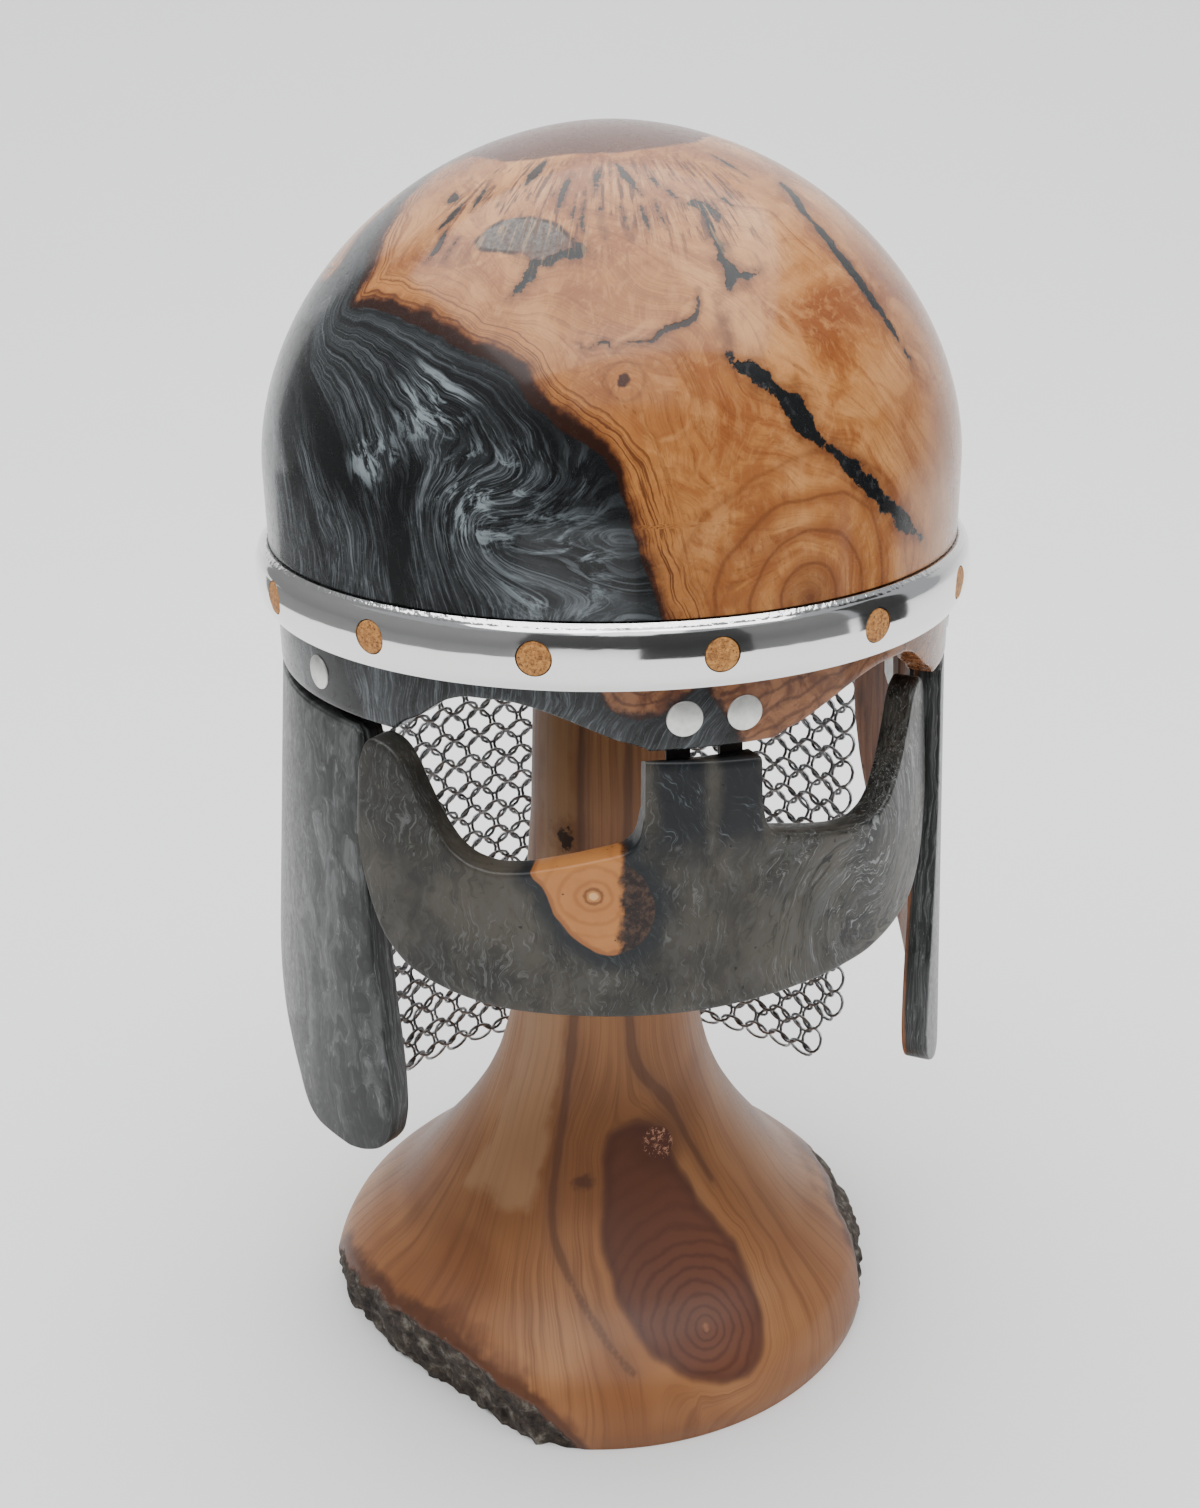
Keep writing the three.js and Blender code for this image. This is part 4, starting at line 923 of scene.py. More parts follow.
def face_piece():
    stub = STUB_HALF / FACE_HALF
    inner = np.linspace(0, stub - 0.012, 12)
    near = [stub - 0.004, stub - 0.001, stub]
    outer = stub + (1 - stub) * np.linspace(0, 1, 130)[1:] ** 1.12
    ends = [0.9985]
    shares = np.unique(np.concatenate([inner, near, outer, ends]))
    signed = np.concatenate([-shares[:0:-1], shares])
    rings = []
    own = []
    for share in signed:
        across = abs(share)
        top = BAND_Z - FACE_DEPTH * float(rows_value(FACE_TOP, across))
        back_drop = 0.0
        if across < stub - 1e-6:
            top = BAND_Z - STUB_TOP - STUB_SLANT * share / stub
            back_drop = STUB_BACK_DROP - STUB_BACK_SLANT * share / stub
        fade = max(0.0, 1 - across * FACE_HALF / STUB_SHIFT_REACH)
        turn = share * FACE_HALF + STUB_SHIFT * fade
        low = BAND_Z - FACE_DEPTH * float(rows_value(FACE_BOTTOM, across))
        end = np.clip((across - 0.985) / 0.015, 0, 1)
        thin = FACE_BEVEL * (1 - math.sqrt(max(0, 1 - end ** 2)))
        radius, z = face_section(low, top, thin, back_drop).T
        rings.append(polar(turn, radius, z))
        own.append(np.stack([np.full(len(z), turn), z, face_radius(z) - radius], -1))
    count = len(rings[0])
    points = np.concatenate(rings)
    own = np.concatenate(own)
    faces = [grid_faces(len(rings), count, True, flip=True)]
    faces.append([np.arange(count)])
    faces.append([np.arange(count)[::-1] + (len(rings) - 1) * count])
    arc = own[:, :2] * np.array([FACE_ARC, 1])
    outline = np.array(FACE_INSERT) * np.array([FACE_ARC, 1])
    rough = waves(points, 5, 21) * 0.4 + waves(points, 12, 22) * 0.5
    smooth = curve_points(outline, 4, True)
    wood = inward_gap(arc, arc, smooth, smooth) + rough * 0.4
    knot = np.hypot(arc[:, 0] - FACE_KNOT[0] * FACE_ARC, (own[:, 1] - FACE_KNOT[1]) * 1.15)
    shade = np.zeros(len(points))
    for low_angle, high_angle in FACE_SHADES:
        beside = np.maximum(low_angle - own[:, 0], own[:, 0] - high_angle) * FACE_ARC
        gap = np.maximum(beside, (231 - own[:, 1]) * 0.35)
        shade = np.maximum(shade, np.clip(0.5 - gap / 6.0, 0, 1))
    right = np.clip((own[:, 0] - 6) / 16, 0, 1)
    twist = 1.9 * np.exp(-(np.hypot(arc[:, 0] - FACE_SWIRL[0], own[:, 1] - FACE_SWIRL[1]) / 26) ** 2)
    flow = np.stack([*swirled(arc[:, 0], own[:, 1], FACE_SWIRL, twist), 40 + own[:, 2] * 3], -1)
    fields = {"wood": wood, "knot": knot, "shade": shade, "right": right, "flow": flow,
              "bark_side": arc[:, 0] + 27.8}
    points = hang(points, FACE_PIVOT, FACE_TURN, FACE_SHIFT)
    obj = make_mesh("face_guard_resin", points, faces, fields=fields)
    sharpen(obj, 42)
    return obj


def face_material():
    s = Shader("face_resin")
    p = s.position()
    flow = s.vector_field("flow")
    olive = s.mix(s.step(s.noise(p, 0.03, 3.0), 0.35, 0.65), (0.07, 0.061, 0.048), (0.024, 0.023, 0.02))
    warp = s.noise(flow, 0.05, 3.0, 0.6, 0.0, colour=True)
    bent = s.moved(flow, warp, 20.0)
    streak = s.noise(s.scaled(bent, (0.22, 0.045, 0.3)), 1.0, 6.0, 0.68, 1.0)
    thread = s.noise(s.scaled(bent, (1.1, 0.055, 0.5)), 1.0, 5.0, 0.66, 0.5)
    patchy = s.noise(p, 0.03, 3.0, 0.6, 0.6)
    strong = 0.34 + s.field("right") * 0.6
    colour = s.mix(s.step(streak, 0.5, 0.62) * (strong * 0.7), olive, (0.08, 0.083, 0.08))
    colour = s.mix(s.step(streak, 0.49, 0.38) * strong, colour, (0.008, 0.009, 0.009))
    lines = s.step(thread, 0.53, 0.64) * s.step(patchy, 0.4, 0.56)
    colour = s.mix(lines * (strong * 0.85), colour, (0.22, 0.23, 0.225))
    shade = s.step(s.field("shade") + (s.noise(p, 0.1, 4.0, 0.65) - 0.5) * 0.9, 0.1, 0.9)
    u, v, _ = s.split(bent)
    across = u * 0.8 + v * 0.6
    down = u * 0.6 - v * 0.8
    wisp = s.noise(s.join(across * 1.1, down * 0.11, 2.0), 1.0, 5.0, 0.66, 0.7)
    wisp_here = s.step(s.noise(p, 0.09, 2.0), 0.4, 0.58)
    blue = s.mix(s.step(wisp, 0.54, 0.68) * wisp_here * 0.75, (0.009, 0.011, 0.014), (0.15, 0.175, 0.19))
    colour = s.mix(shade * 0.88, colour, blue)
    wood_side = s.field("wood")
    halo = s.step(wood_side + s.noise(p, 0.08, 4.0, 0.6) * 9.0, -3.5, 3.5) * 0.85
    colour = s.mix(halo, colour,
                   s.mix(s.step(wisp, 0.55, 0.7) * 0.5, (0.009, 0.012, 0.015), (0.08, 0.095, 0.105)))
    # End-grain wood with a knot and a bark edge
    knot = s.field("knot")
    ring = s.math("PINGPONG", knot * 0.42 + s.noise(p, 0.12, 3.0) * 1.5, 1.0)
    wood = s.mix(s.noise(p, 0.12, 4.0, 0.6), (0.5, 0.215, 0.066), (0.34, 0.125, 0.036))
    fade = s.step(knot, 26.0, 5.0)
    wood = s.mix(s.step(ring, 0.5, 1.0) * fade * 0.42, wood, WOOD_MID)
    collar = knot + s.noise(p, 0.5, 3.0) * 1.6
    wood = s.mix(s.step(collar, 4.4, 3.6) * s.step(collar, 2.6, 3.2) * 0.65, wood, WOOD_DARK)
    wood = s.mix(s.step(knot, 1.7, 1.2), wood, (0.62, 0.36, 0.16))
    edge = s.step(wood_side + s.noise(p, 0.3, 3.0) * 2.4, 3.2, 1.9)
    wood = s.mix(edge * 0.75, wood, (0.24, 0.085, 0.03))
    ragged = (s.noise(p, 0.13, 5.0, 0.68) - 0.5) * 7.0
    right_bark = s.step(s.field("bark_side") + ragged, 2.4, 4.6)
    bark_tone = s.mix(s.step(s.noise(p, 0.4, 5.0, 0.7), 0.4, 0.66), (0.016, 0.01, 0.009),
                      (0.07, 0.038, 0.025))
    wood = s.mix(right_bark * s.step(knot, 4.0, 6.0), wood, bark_tone)
    colour = s.mix(s.step(wood_side, -0.3, 0.3), colour, wood)
    pits = s.step(s.noise(p, 0.42, 1.0), 0.75, 0.78)
    colour = s.mix(pits * 0.8, colour, (0.01, 0.01, 0.01))
    s.set(Base_Color=colour, Roughness=s.ramp(s.noise(p, 0.6, 3.0), [(0.3, 0.3), (0.7, 0.42)]),
          Specular_IOR_Level=0.27, Coat_Weight=0.05, Coat_Roughness=0.2,
          Normal=s.bump(s.noise(p, 0.5, 3.0), 0.00005, 0.6))
    return s.material


def cheek_piece(side, name):
    rows = 150
    across = 34
    depth = CHEEK_BOTTOM - CHEEK_TOP
    span = CHEEK_REAR - CHEEK_FRONT
    downs = (1 - np.cos(np.linspace(0, math.pi, rows))) / 2
    downs = np.unique(np.concatenate([downs * 0.9996 + 0.0002, [0, 1]]))
    fronts = rows_value([(r[0], r[1]) for r in CHEEK_ROWS], downs)
    rears = rows_value([(r[0], r[2]) for r in CHEEK_ROWS], downs)
    corner = np.radians([0, 30, 60])
    tuck = 1 - np.cos(corner)
    fall = CHEEK_BEVEL * (1 - np.sin(corner))
    rings = []
    own = []
    for down, front, rear in zip(downs, fronts, rears):
        z = BAND_Z - CHEEK_TOP - down * depth
        near = min(down, 1 - down) * depth
        thin = CHEEK_BEVEL * (1 - math.sqrt(1 - max(0, 1 - near / CHEEK_BEVEL) ** 2))
        outer = cheek_radius(z) - thin
        wall = GUARD_WALL - 2 * thin
        low = CHEEK_FRONT + front * span
        high = CHEEK_FRONT + rear * span
        tilt = math.degrees(CHEEK_BEVEL / outer)
        middle = np.linspace(low + tilt, high - tilt, across)
        angles = np.concatenate([low + tilt * tuck, middle, high - tilt * tuck[::-1]])
        radii = np.concatenate([outer - fall, np.full(across, outer), outer - fall[::-1]])
        angles = np.concatenate([angles, angles[::-1]])
        radii = np.concatenate([radii, 2 * outer - wall - radii[::-1]])
        rings.append(polar(side * angles, radii, np.full(len(angles), z)))
        own.append(np.stack([angles, np.full(len(angles), z), (outer - radii) / wall], -1))
    points = np.concatenate(rings)
    own = np.concatenate(own)
    total = len(rings[0])
    faces = [grid_faces(len(rings), total, True, flip=side > 0)]
    cap = np.arange(total)
    faces.append([cap if side < 0 else cap[::-1]])
    last = cap + (len(rings) - 1) * total
    faces.append([last[::-1] if side < 0 else last])
    across_flow = own[:, 0] * 2 * side + 0.12 * (own[:, 1] - 200)
    flow = np.stack([across_flow, own[:, 1], 90.0 * side + own[:, 2] * 27], -1)
    fields = {"inward": own[:, 2], "flow": flow}
    points = hang(points, np.array([side * CHEEK_PIVOT_R, 0, RIM_Z]), (0, CHEEK_LEAN, 0), np.zeros(3))
    obj = make_mesh(name, points, faces, fields=fields)
    sharpen(obj, 42)
    return obj


def cheek_material(name, wooden):
    s = Shader(name)
    p = s.position()
    flow = s.vector_field("flow")
    warp = s.noise(flow, 0.03, 3.0, 0.6, 0.0, colour=True)
    bent = s.moved(flow, warp, 20.0)
    streak = s.noise(s.scaled(bent, (0.11, 0.018, 0.3)), 1.0, 6.0, 0.62, 0.9)
    thread = s.noise(s.scaled(bent, (0.8, 0.07, 0.6)), 1.0, 5.0, 0.64, 0.8)
    base = s.ramp(streak, [(0.4, (0.01, 0.011, 0.0105)), (0.51, (0.03, 0.032, 0.031)),
                           (0.66, (0.085, 0.088, 0.088))])
    colour = s.mix(s.step(thread, 0.53, 0.66) * s.step(streak, 0.4, 0.56) * 0.45, base, (0.2, 0.21, 0.21))
    if wooden:
        grain = s.noise(s.scaled(p, (0.25, 0.25, 0.02)), 1.0, 5.0, 0.6, 1.0)
        wood = s.ramp(grain, [(0.3, (0.1, 0.038, 0.018)), (0.5, (0.23, 0.088, 0.038)),
                              (0.7, (0.33, 0.14, 0.06))])
        spots = s.step(s.noise(p, 0.2, 2.0), 0.68, 0.74)
        wood = s.mix(spots * 0.6, wood, BARK_BROWN)
        inside = s.step(s.field("inward") + s.noise(p, 0.06, 2.0) * 0.2, 0.9, 1.04)
        colour = s.mix(inside, colour, wood)
    else:
        inside = s.step(s.field("inward"), 0.9, 1.0)
        colour = s.mix(inside * 0.5, colour, (0.03, 0.03, 0.03))
    s.set(Base_Color=colour, Roughness=s.ramp(s.noise(p, 0.6, 3.0), [(0.3, 0.28), (0.7, 0.42)]),
          Coat_Weight=0.05, Coat_Roughness=0.2, Specular_IOR_Level=0.28,
          Normal=s.bump(s.noise(p, 0.5, 3.0), 0.00005, 0.6))
    return s.material


# The mail's wire rings and the curtain they fill, in millimetres and in degrees round the shell
WIRE_R = 0.66
RING_R = 5.12
RING_TILT = 25
MAIL_R = 110.0
MAIL_COLUMNS = 24
MAIL_ROWS = 19
MAIL_FIRST = 107.6
MAIL_LAST = 252.4
MAIL_HIGH = 256.3
MAIL_STEP = 11.45
MAIL_EDGE = 107.0
MAIL_SPAN = 146.0
MAIL_MARGIN = 2.9
MAIL_HEM = 46.0
MAIL_CORNER_RISE = 42.0
MAIL_CORNER_SPAN = 12.0


def mail_hem(angle):
    """Height of the curtain's lower edge, which rises at both corners."""
    from_end = min(angle - MAIL_EDGE, MAIL_EDGE + MAIL_SPAN - angle)
    corner = max(0, 1 - max(0, from_end) / MAIL_CORNER_SPAN)
    return MAIL_HEM + MAIL_CORNER_RISE * corner ** 1.6


def mail_piece():
    """Linked rings: rows of face rings, and between each four of them one ring through all four."""
    sides = 14
    wire_sides = 6
    pitch = (MAIL_LAST - MAIL_FIRST) / MAIL_COLUMNS
    points = []
    faces = []
    shape = []
    for a in np.arange(sides) / sides * 2 * math.pi:
        radial = np.array([math.cos(a), 0, math.sin(a)])
        for b in np.arange(wire_sides) / wire_sides * 2 * math.pi:
            shape.append(radial * (RING_R + WIRE_R * math.cos(b)) + np.array([0, WIRE_R * math.sin(b), 0]))
    shape = np.array(shape)
    quads = grid_faces(sides + 1, wire_sides, True) % len(shape)
    for layer in (0, 1):
        for i in range(MAIL_COLUMNS + (1 - layer)):
            for j in range(MAIL_ROWS):
                angle = MAIL_FIRST + pitch * (i + 0.5 * layer)
                z = MAIL_HIGH - MAIL_STEP * (j + 0.5 * layer)
                beyond = not MAIL_MARGIN <= angle - MAIL_EDGE <= MAIL_SPAN - MAIL_MARGIN
                if z - RING_R < mail_hem(angle) - 1 or beyond:
                    continue
                lean = math.radians(RING_TILT if layer else -RING_TILT) + RNG.normal() * 0.04
                yaw = RNG.normal() * 0.06
                roll = RNG.normal() * 0.08
                m = Matrix.Rotation(math.radians(angle) + yaw, 3, "Z") @ Matrix.Rotation(lean, 3, "X")
                m = m @ Matrix.Rotation(roll, 3, "Y")
                ring = shape @ np.array(m).T
                out = MAIL_R + 3.0 * math.exp(-((angle - MAIL_LAST) / 8) ** 2)
                centre = polar(angle, out + RNG.normal() * 0.08, z + RNG.normal() * 0.12)
                faces.append(quads + len(points) * len(shape))
                points.append(ring + centre)
    return make_mesh("mail_rings", np.concatenate(points), faces)


# The stand leans below one height. Its flare is given as rows of height and width, both as shares.
POST_R = 26.6
FOOT_R = 104.0
FLARE_TOP = 200.0
LEAN_TOP = 280.0
STAND_LEAN = np.array([-7.7, 2.1, 0])
FOOT_SLOPE = 0.16
STAND_ROWS = [
    (0, 0.99), (0.03, 1), (0.06, 0.985), (0.1, 0.94), (0.15, 0.82), (0.2, 0.665), (0.275, 0.495),
    (0.35, 0.35), (0.425, 0.235), (0.5, 0.158), (0.6, 0.1), (0.75, 0.055), (1, 0.013),
]
FOOT_EDGE = [
    (-122, 1.12), (-104, 0.99), (-91, 0.955), (-75, 0.9), (-56, 0.873), (-45, 0.883), (-37, 0.925),
    (-28, 0.985), (-16, 1.12), (52, 1.12), (62, 0.99), (73, 0.965), (84, 0.99), (96, 0.965), (108, 0.985),
    (124, 1.12), (238, 1.12),
]
POST_TOP = [(0, 0), (0.3, 0.035), (0.6, 0.1), (0.82, 0.19), (0.95, 0.33), (1, 0.6)]
STAND_HEART = [
    (26.3, 51.9), (28.3, 45.5), (25.0, 31.6), (21.7, 23.1), (16.1, 17.0), (8.2, 18.6), (0.8, 24.1),
    (-6.4, 33.2), (-13.6, 50.0), (-15.0, 70.9), (-13.6, 85.7), (-4.4, 90.5), (5.2, 90.8), (14.0, 84.0),
    (20.0, 68.0),
]
STAND_LINES = [
    [(-34, 290, 0.5), (-36, 220, 0.5), (-33, 170, 0.7), (-34.5, 131.6, 0.8), (-35.5, 96.1, 0.8),
     (-34.5, 71.6, 0.8), (-31.2, 59.0, 0.7), (-25.8, 49.5, 0.6), (-17.3, 37.7, 0.5), (-8, 25, 0.3)],
    [(-2, 290, 0.4), (-1, 200, 0.6), (-0.1, 131.8, 0.9), (3.9, 111.2, 1.2), (19.5, 95.8, 1.0),
     (26.3, 79.6, 0.5), (30, 66, 0.3)],
]
# Upper border of the bark on each live edge, as angles and heights
BARK_RIGHT = [(-104, 12), (-97.6, 21.4), (-74.8, 29.2), (-59.2, 30.2), (-45.5, 28.4), (-32.8, 22.9),
              (-25.7, 17.1), (-19.5, 6.5), (-15, -8)]
BARK_LEFT = [(50, -8), (55, 6), (60.8, 20.9), (66.1, 26.6), (73.5, 33), (95.5, 33), (108, 10), (114, -8)]


def stand_radius(z):
    """Radius of the foot's flare and the post at a height."""
    return POST_R + (FOOT_R - POST_R) * float(rows_value(STAND_ROWS, min(z / FLARE_TOP, 1)))


def lean_shift(z):
    """How far the leaning stand is from upright at a height."""
    return np.multiply.outer(np.maximum(0, 1 - z / LEAN_TOP), STAND_LEAN)


def stand_spots(line):
    """Points of the stand's surface from (angle, height) pairs."""
    return np.array([polar(a, stand_radius(z), z) + lean_shift(z) for a, z in line])


def stand_piece():
    sides = 300
    angles = FOOT_EDGE[0][0] + np.arange(sides) * 360 / sides
    foot_edge = FOOT_R * rows_value(FOOT_EDGE, angles)
    span = (angles + 180) % 360 - 180
    bark_top = np.where(span < 0, rows_value(BARK_RIGHT, span), rows_value(BARK_LEFT, span))
    bark_top = np.where((span < BARK_RIGHT[0][0]) | (span > BARK_LEFT[-1][0]), -20, bark_top)
    top = DOME_START + INNER_RISE - 0.3
    ups = np.concatenate([np.linspace(0, 24, 26), np.linspace(24, 100, 62)[1:],
                          np.linspace(100, FLARE_TOP, 32)[1:]])
    profile = [(z, stand_radius(z)) for z in ups]
    taper = (stand_radius(FLARE_TOP) - POST_R) / (LEAN_TOP - FLARE_TOP)
    for z in np.linspace(FLARE_TOP, LEAN_TOP, 20)[1:]:
        profile.append((z, POST_R + taper * (LEAN_TOP - z)))
    for z in np.linspace(LEAN_TOP, top - POST_TOP[-1][1] * POST_R, 14)[1:]:
        profile.append((z, POST_R))
    for s in np.linspace(0, 1, 14)[1:-1]:
        out = math.cos(s * math.pi / 2) ** 0.8
        profile.append((top - float(rows_value(POST_TOP, out)) * POST_R, POST_R * out))
    steps = np.diff(np.array(profile), axis=0)
    lengths = np.concatenate([[0], np.cumsum(np.hypot(steps[:, 0], steps[:, 1]))])
    rings = []
    bark = []
    for z, radius in profile:
        out = np.minimum(radius, foot_edge + FOOT_SLOPE * z)
        ring = polar(angles, out, np.full(sides, z))
        if z < 60:
            dent = waves(ring, 11, 31) * 1.3 + waves(ring, 4, 32) * 0.8
            share = np.clip((bark_top - z - 3.5) / 4.0, 0, 1)
            ring = polar(angles, out - np.clip(dent + 1.2, 0, 3.2) * share, np.full(sides, z))
        rings.append(ring + lean_shift(z))
        bark.append(np.minimum(bark_top - z, 8.0))
    points = np.concatenate(rings + [np.array([(0, 0, top)]), rings[0].mean(0)[None] * np.array([1, 1, 0])])
    rows = len(rings)
    faces = [grid_faces(rows, sides, True), fan_faces((rows - 1) * sides, sides, len(points) - 2),
             fan_faces(0, sides, len(points) - 1, True)]
    arc = np.concatenate([np.repeat(lengths, sides), [lengths[-1], 0]])
    over = np.concatenate(bark + [np.array([-50, -50])])
    z = points[:, 2]
    upright = points - lean_shift(z)
    angle = np.degrees(np.arctan2(upright[:, 0], -upright[:, 1]))
    reach = np.hypot(upright[:, 0], upright[:, 1])
    heart_line = curve_points(STAND_HEART, 5, True)
    rough = waves(points, 16, 41) * 0.8 + waves(points, 6, 42) * 0.3
    heart = inward_gap(points, np.stack([angle, z], -1), stand_spots(heart_line), heart_line) + rough
    lines = np.full(len(points), 1e3)
    for line in STAND_LINES:
        smooth = curve_points(line, 5)
        lines = np.minimum(lines, line_distance(points, stand_spots(smooth[:, :2]), smooth[:, 2]))
    lines = lines + rough * 0.5
    ring_spot, knot_spot, mark_spot, hole_spot = stand_spots([(10.1, 32.2), (10.6, 83.0), (-22.6, 73.1),
                                                              (-47.2, 196.0)])
    rings_at = np.linalg.norm((points - ring_spot) * np.array([1.0, 1.0, 0.72]), axis=1)
    knot = np.linalg.norm(points - knot_spot, axis=1)
    mark = np.linalg.norm((points - mark_spot) * np.array([0.8, 1, 1.4]), axis=1)
    post_knot = np.linalg.norm((points - hole_spot) * np.array([1, 1, 0.8]), axis=1)
    pale = np.maximum(np.maximum(-72 - angle, angle + 41) * reach * 0.0174, 62 - z) + rough * 1.2
    # Growth lines run down the post and out over the foot, and part round the heart
    part = np.clip(1 - np.abs(z - 60) / 70, 0, 1) * 9 * np.exp(-((angle - 5) / 34) ** 2)
    across = angle * (1 + 0.002 * (200 - np.minimum(z, 200)))
    grain = across + np.sign(angle - 5) * part + waves(points, 90, 43) * 5 + waves(points, 34, 44) * 1.1
    blend = np.exp(-np.maximum(-heart, 0) / 16)
    grain = grain * (1 - blend) - heart * 0.9 * blend
    fields = {"arc": arc, "bark": over, "heart": heart, "lines": lines, "rings": rings_at, "knot": knot,
              "mark": mark, "post_knot": post_knot, "pale": pale, "grain": grain}
    obj = make_mesh("stand_wood", points, faces, fields=fields)
    sharpen(obj, 60)
    return obj


def stand_material():
    s = Shader("stand_wood")
    p = s.position()
    x = s.split(p)[0]
    grain = s.field("grain")
    arc = s.field("arc")
    coarse = s.noise(s.join(grain * 0.22, arc * 0.006, 0.0), 1.0, 3.0, 0.6)
    fine = s.noise(s.join(grain * 0.9, arc * 0.012, 5.0), 1.0, 4.0, 0.65)
    tone = s.noise(p, 0.014, 2.0, 0.5, 0.6)
    base = s.ramp(tone, [(0.35, (0.21, 0.082, 0.03)), (0.5, (0.29, 0.125, 0.048)),
                         (0.68, (0.37, 0.175, 0.07))])
    calm = s.step(s.noise(p, 0.02, 2.0), 0.38, 0.62)
    base = s.mix(s.step(coarse, 0.46, 0.64) * (calm * 0.35 + 0.22), base, (0.135, 0.048, 0.019))
    base = s.mix(s.step(fine, 0.48, 0.66) * 0.3, base, (0.09, 0.032, 0.014))
    pale = s.step(s.field("pale") + (s.noise(p, 0.06, 4.0, 0.6) - 0.5) * 9.0, 2.5, -2.5)
    base = s.mix(pale * 0.42, base, (0.42, 0.25, 0.13))
    base = s.mix(s.step(s.field("lines"), 5.0, 0.4) * 0.45, base, (0.17, 0.075, 0.036))
    base = s.mix(s.step(s.field("lines"), 1.5, 0.1) * 0.6, base, (0.08, 0.032, 0.017))
    darker = s.step(x, 12.0, 60.0) * s.step(s.noise(p, 0.022, 2.0), 0.3, 0.6) * 0.5
    base = s.mix(darker, base, (0.15, 0.056, 0.023))
    # Dark heart with rings
    heart = s.field("heart")
    turns = s.math("POWER", s.field("rings"), 0.75) * 1.35
    ring = s.math("PINGPONG", turns + s.noise(p, 0.03, 4.0, 0.6) * 5.5, 1.0)
    dark = s.mix(s.noise(p, 0.02, 2.0), (0.085, 0.029, 0.016), (0.15, 0.054, 0.028))
    near = s.step(s.field("rings"), 48.0, 14.0)
    dark = s.mix(s.step(ring, 0.35, 1.0) * (near * 0.75 + 0.25) * 0.55, dark, (0.055, 0.018, 0.011))
    dark = s.mix(s.step(s.field("rings"), 2.2, 0.8) * 0.6, dark, (0.3, 0.12, 0.055))
    base = s.mix(s.step(heart, -1.2, 2.2), base, dark)
    rim = s.step(heart, -2.0, 1.0) * s.step(heart, 6.0, 2.0)
    base = s.mix(rim * 0.5, base, (0.07, 0.028, 0.018))
    knot = s.field("knot")
    base = s.mix(s.step(knot, 14.0, 5.0) * 0.6, base, (0.08, 0.03, 0.018))
    cracks = s.step(s.noise(p, 0.55, 3.0, 0.7, 1.2), 0.53, 0.6)
    crumb = s.mix(cracks, (0.09, 0.032, 0.02), (0.42, 0.2, 0.12))
    base = s.mix(s.step(knot, 6.4, 5.2), base, crumb)
    notch = s.field("mark") + s.noise(p, 0.3, 4.0, 0.65) * 6.0
    base = s.mix(s.step(notch, 8.0, 4.5) * 0.7, base, (0.06, 0.024, 0.014))
    hole = s.field("post_knot") + s.noise(p, 0.28, 4.0, 0.7) * 16.0
    base = s.mix(s.step(hole, 18.0, 9.0) * 0.5, base, (0.1, 0.04, 0.02))
    base = s.mix(s.step(hole, 11.5, 9.5) * 0.9, base, (0.018, 0.008, 0.005))
    # Bark on the live edges, with a brown border
    bark = s.field("bark") + (s.noise(p, 0.09, 4.0) - 0.5) * 9.0
    border = s.step(bark, -1.2, 2.2)
    base = s.mix(border * 0.85, base, (0.06, 0.022, 0.012))
    stain = s.step(bark, -6.0, 0.0) * s.step(s.noise(p, 0.045, 3.0, 0.6), 0.46, 0.6)
    base = s.mix(stain * 0.6, base, (0.1, 0.036, 0.017))
    rough_bark = s.noise(p, 0.18, 6.0, 0.7)
    bark_colour = s.ramp(rough_bark,
                         [(0.36, (0.012, 0.009, 0.008)), (0.54, (0.06, 0.045, 0.035)),
                          (0.7, (0.2, 0.18, 0.15))])
    is_bark = s.step(bark, 4.4, 6.4)
    base = s.mix(is_bark, base, bark_colour)
    pores = s.noise(s.scaled(p, (1.4, 1.4, 0.12)), 1.0, 3.0, 0.6)
    height = pores * 0.08 + rough_bark * is_bark * 6.0
    s.set(Base_Color=base,
          Roughness=s.mix(is_bark, s.ramp(pores, [(0.3, 0.36), (0.7, 0.5)]), (0.85, 0.85, 0.85)),
          Specular_IOR_Level=0.28, Coat_Weight=0.04, Coat_Roughness=0.3, Normal=s.bump(height, 0.0004, 0.8))
    return s.material


# Pieces
satin = disc_material()
leather = leather_material()
cork = cork_material()
place_piece(shell_piece(), "burl_resin", shell_material(), "helmet_shell")
place_piece(band_piece(), "band_metal", band_material(), "band")
for i in range(INLAYS):
    rows = [(BAND_R - 2.4, INLAY_R - 0.05), (BAND_R - 0.45, INLAY_R - 0.01), (BAND_R - 0.25, INLAY_R - 0.1),
            (BAND_R - 0.2, INLAY_R - 0.3)]
    disc = radial_piece(f"cork_inlay_{i + 1:02d}", 360 * i / INLAYS, BAND_Z, rows, 40)
    place_piece(disc, "cork", cork, f"inlay_{i + 1:02d}")
place_piece(face_piece(), "face_resin", face_material(), "face_guard")
place_piece(cheek_piece(-1, "cheek_resin_right"), "cheek_resin_right", cheek_material("cheek_right", False),
            "cheek_guard_right")
place_piece(cheek_piece(1, "cheek_resin_left"), "cheek_resin_left", cheek_material("cheek_left", True),
            "cheek_guard_left")
RIVET_Z = BAND_Z - 20.4
RIVET_ROWS = [
    (98.65, 2.9), (98.75, 3.2), (99.1, 3.4), (100.3, 3.4), (100.69, 3.35), (100.7, 2.0), (111.39, 2.0),
    (111.4, 5.3), (111.5, 5.4), (112.5, 5.4), (112.7, 5.3), (112.8, 5.1),
]
for name, rivet_angle in (("nasal_rivet_right", -4.6), ("nasal_rivet_left", 4.6),
                          ("cheek_rivet_right", -68.6), ("cheek_rivet_left", 68.6)):
    rivet = radial_piece("disc_" + name, rivet_angle, RIVET_Z, RIVET_ROWS, 56)
    place_piece(rivet, "disc_metal", satin, name)
place_piece(mail_piece(), "mail_steel", mail_material(), "mail")
place_piece(stand_piece(), "stand_wood", stand_material(), "stand")
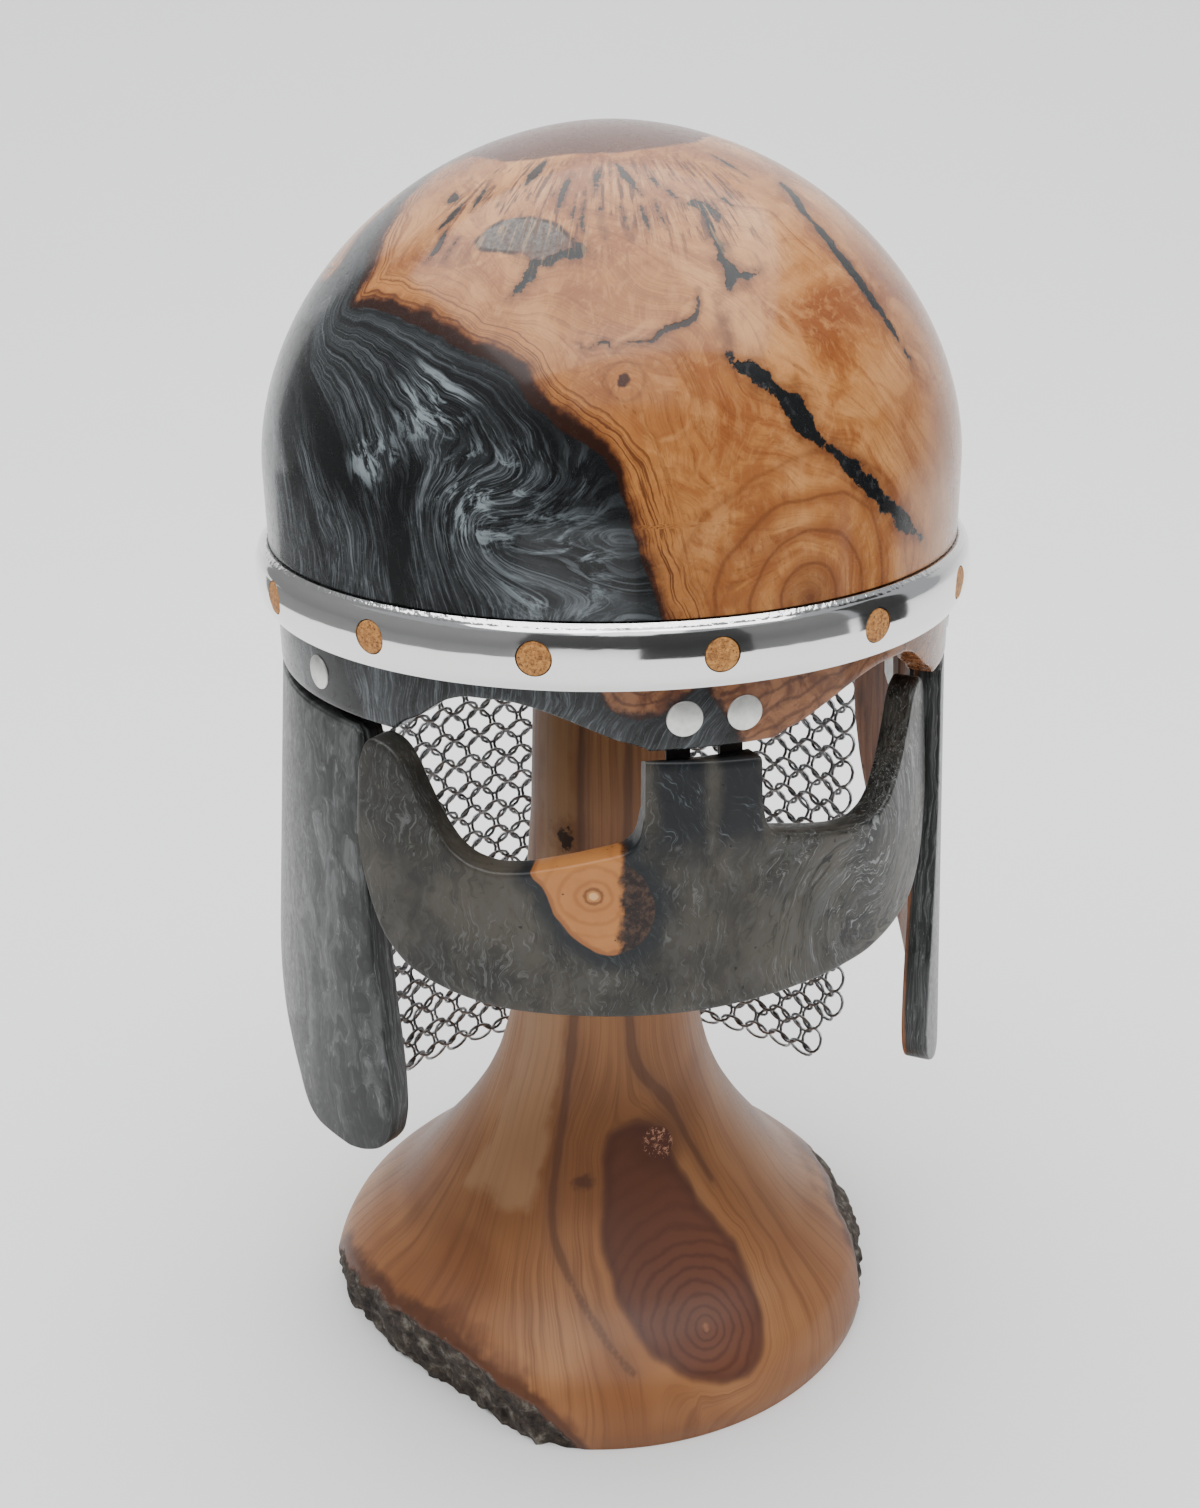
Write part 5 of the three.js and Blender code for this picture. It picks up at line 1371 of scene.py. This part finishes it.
for name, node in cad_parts.items():
    if "strap" in name:
        node.data.materials.clear()
        node.data.materials.append(leather)
    if "bar" in name:
        node.data.materials.clear()
        node.data.materials.append(satin)


# The way the camera looks over the floor, and the way to its right
TOWARD = Vector((0.2571, 0.9664, 0))
RIGHT = Vector((0.9664, -0.2571, 0))
FLOOR_REACH = 1300.0
FLOOR_BEND = 700.0
WALL_HEIGHT = 3600.0
WALL_R = 3400.0


def stage_sweep():
    """Pale floor that turns up into a wall behind."""
    s = Shader("pale_floor")
    p = s.position()
    tone = s.noise(p, 0.004, 2.0, 0.5)
    s.set(Base_Color=s.mix(tone, (0.8, 0.8, 0.795), (0.83, 0.83, 0.825)), Roughness=0.75,
          Specular_IOR_Level=0.2)
    rows = []
    profile = [(-3500, 0), (0, 0), (FLOOR_REACH, 0)]
    for a in np.radians(np.arange(1, 13) * 7.5):
        profile.append((FLOOR_REACH + FLOOR_BEND * math.sin(a), FLOOR_BEND * (1 - math.cos(a))))
    profile.append((FLOOR_REACH + FLOOR_BEND, WALL_HEIGHT))
    widths = np.linspace(-3600, 3600, 9)
    for along, z in profile:
        for w in widths:
            rows.append((*(TOWARD * along + RIGHT * w)[:2], z - 0.05))
    obj = make_mesh("floor", rows, [grid_faces(len(profile), len(widths), False)])
    obj.data.materials.append(s.material)
    # The same pale wall goes on all round, only for the camera
    turns = np.linspace(0, 360, 49)
    ring = np.concatenate([polar(turns, WALL_R, np.full(49, z)) for z in (0.0, WALL_HEIGHT)])
    wall = make_mesh("wall", ring, [grid_faces(2, 49, False)])
    wall.data.materials.append(s.material)
    for kind in ("diffuse", "glossy", "transmission", "shadow"):
        setattr(wall, "visible_" + kind, False)


def add_light(name, location, target, size, power, colour=(1, 1, 1)):
    data = bpy.data.lights.new(name, "AREA")
    data.shape = "RECTANGLE"
    data.size, data.size_y = size
    data.energy = power
    data.color = colour
    obj = bpy.data.objects.new(name, data)
    bpy.context.scene.collection.objects.link(obj)
    obj.location = location
    obj.rotation_euler = (Vector(target) - Vector(location)).to_track_quat("-Z", "Y").to_euler()
    return obj


stage_sweep()
world = bpy.data.worlds.new("studio")
world.use_nodes = True
world.node_tree.nodes["Background"].inputs[0].default_value = (0.93, 0.96, 1.0, 1)
world.node_tree.nodes["Background"].inputs[1].default_value = 0.46
bpy.context.scene.world = world
add_light("ceiling", (0.0, 0.0, 3.0), (0, 0, 0), (4.5, 4.0), 235)
add_light("front", (-0.18, -1.0, 1.5), (0, 0, 0.3), (0.8, 0.7), 3)
# The room in front of the light tent is dark, and shows only in reflections. Each part of it runs from one
# angle to another, with the reach and height of its lower edge, and a shade.
ROOM_PARTS = [
    (-150, -42, 900, 0, 0.15), (-42, -8, 2600, 700, 0.05), (-8, 26, 850, 0, 0.035), (26, 58, 900, 0, 0.12),
    (62, 84, 850, 0, 0.03),
]
for start, stop, near, low, shade in ROOM_PARTS:
    turns = np.linspace(start, stop, 9)
    rows = [(near, 2), (2600, low + 2), (2600, 2100)]
    sheet = np.concatenate([polar(turns, out, np.full(9, z)) for out, z in rows])
    curtain = make_mesh("room", sheet, [grid_faces(3, 9, False)])
    cloth = Shader("room")
    cloth.set(Base_Color=(shade, shade, shade), Roughness=1.0, Specular_IOR_Level=0.0)
    curtain.data.materials.append(cloth.material)
    for kind in ("camera", "diffuse", "shadow"):
        setattr(curtain, "visible_" + kind, False)

# The camera's place in metres, its lens in millimetres and its angles
CAMERA_AT = (-0.1515, -0.5692, 0.4558)
CAMERA_LENS = 42.97
pitch = math.radians(22.04)
yaw = math.radians(-0.49)
roll = math.radians(-0.82)
level = math.sin(yaw) * RIGHT + math.cos(yaw) * TOWARD
ahead = math.cos(pitch) * level - math.sin(pitch) * Vector((0, 0, 1))
side_way = math.cos(yaw) * RIGHT - math.sin(yaw) * TOWARD
up_way = side_way.cross(ahead)
side_rolled = side_way * math.cos(roll) + up_way * math.sin(roll)
up_rolled = up_way * math.cos(roll) - side_way * math.sin(roll)
camera_data = bpy.data.cameras.new("camera")
camera_data.lens = CAMERA_LENS
camera_data.sensor_width = 36
camera = bpy.data.objects.new("camera", camera_data)
bpy.context.scene.collection.objects.link(camera)
axes = Matrix((side_rolled, up_rolled, -ahead)).transposed()
camera.matrix_world = Matrix.Translation(CAMERA_AT) @ axes.to_4x4()
bpy.context.scene.camera = camera

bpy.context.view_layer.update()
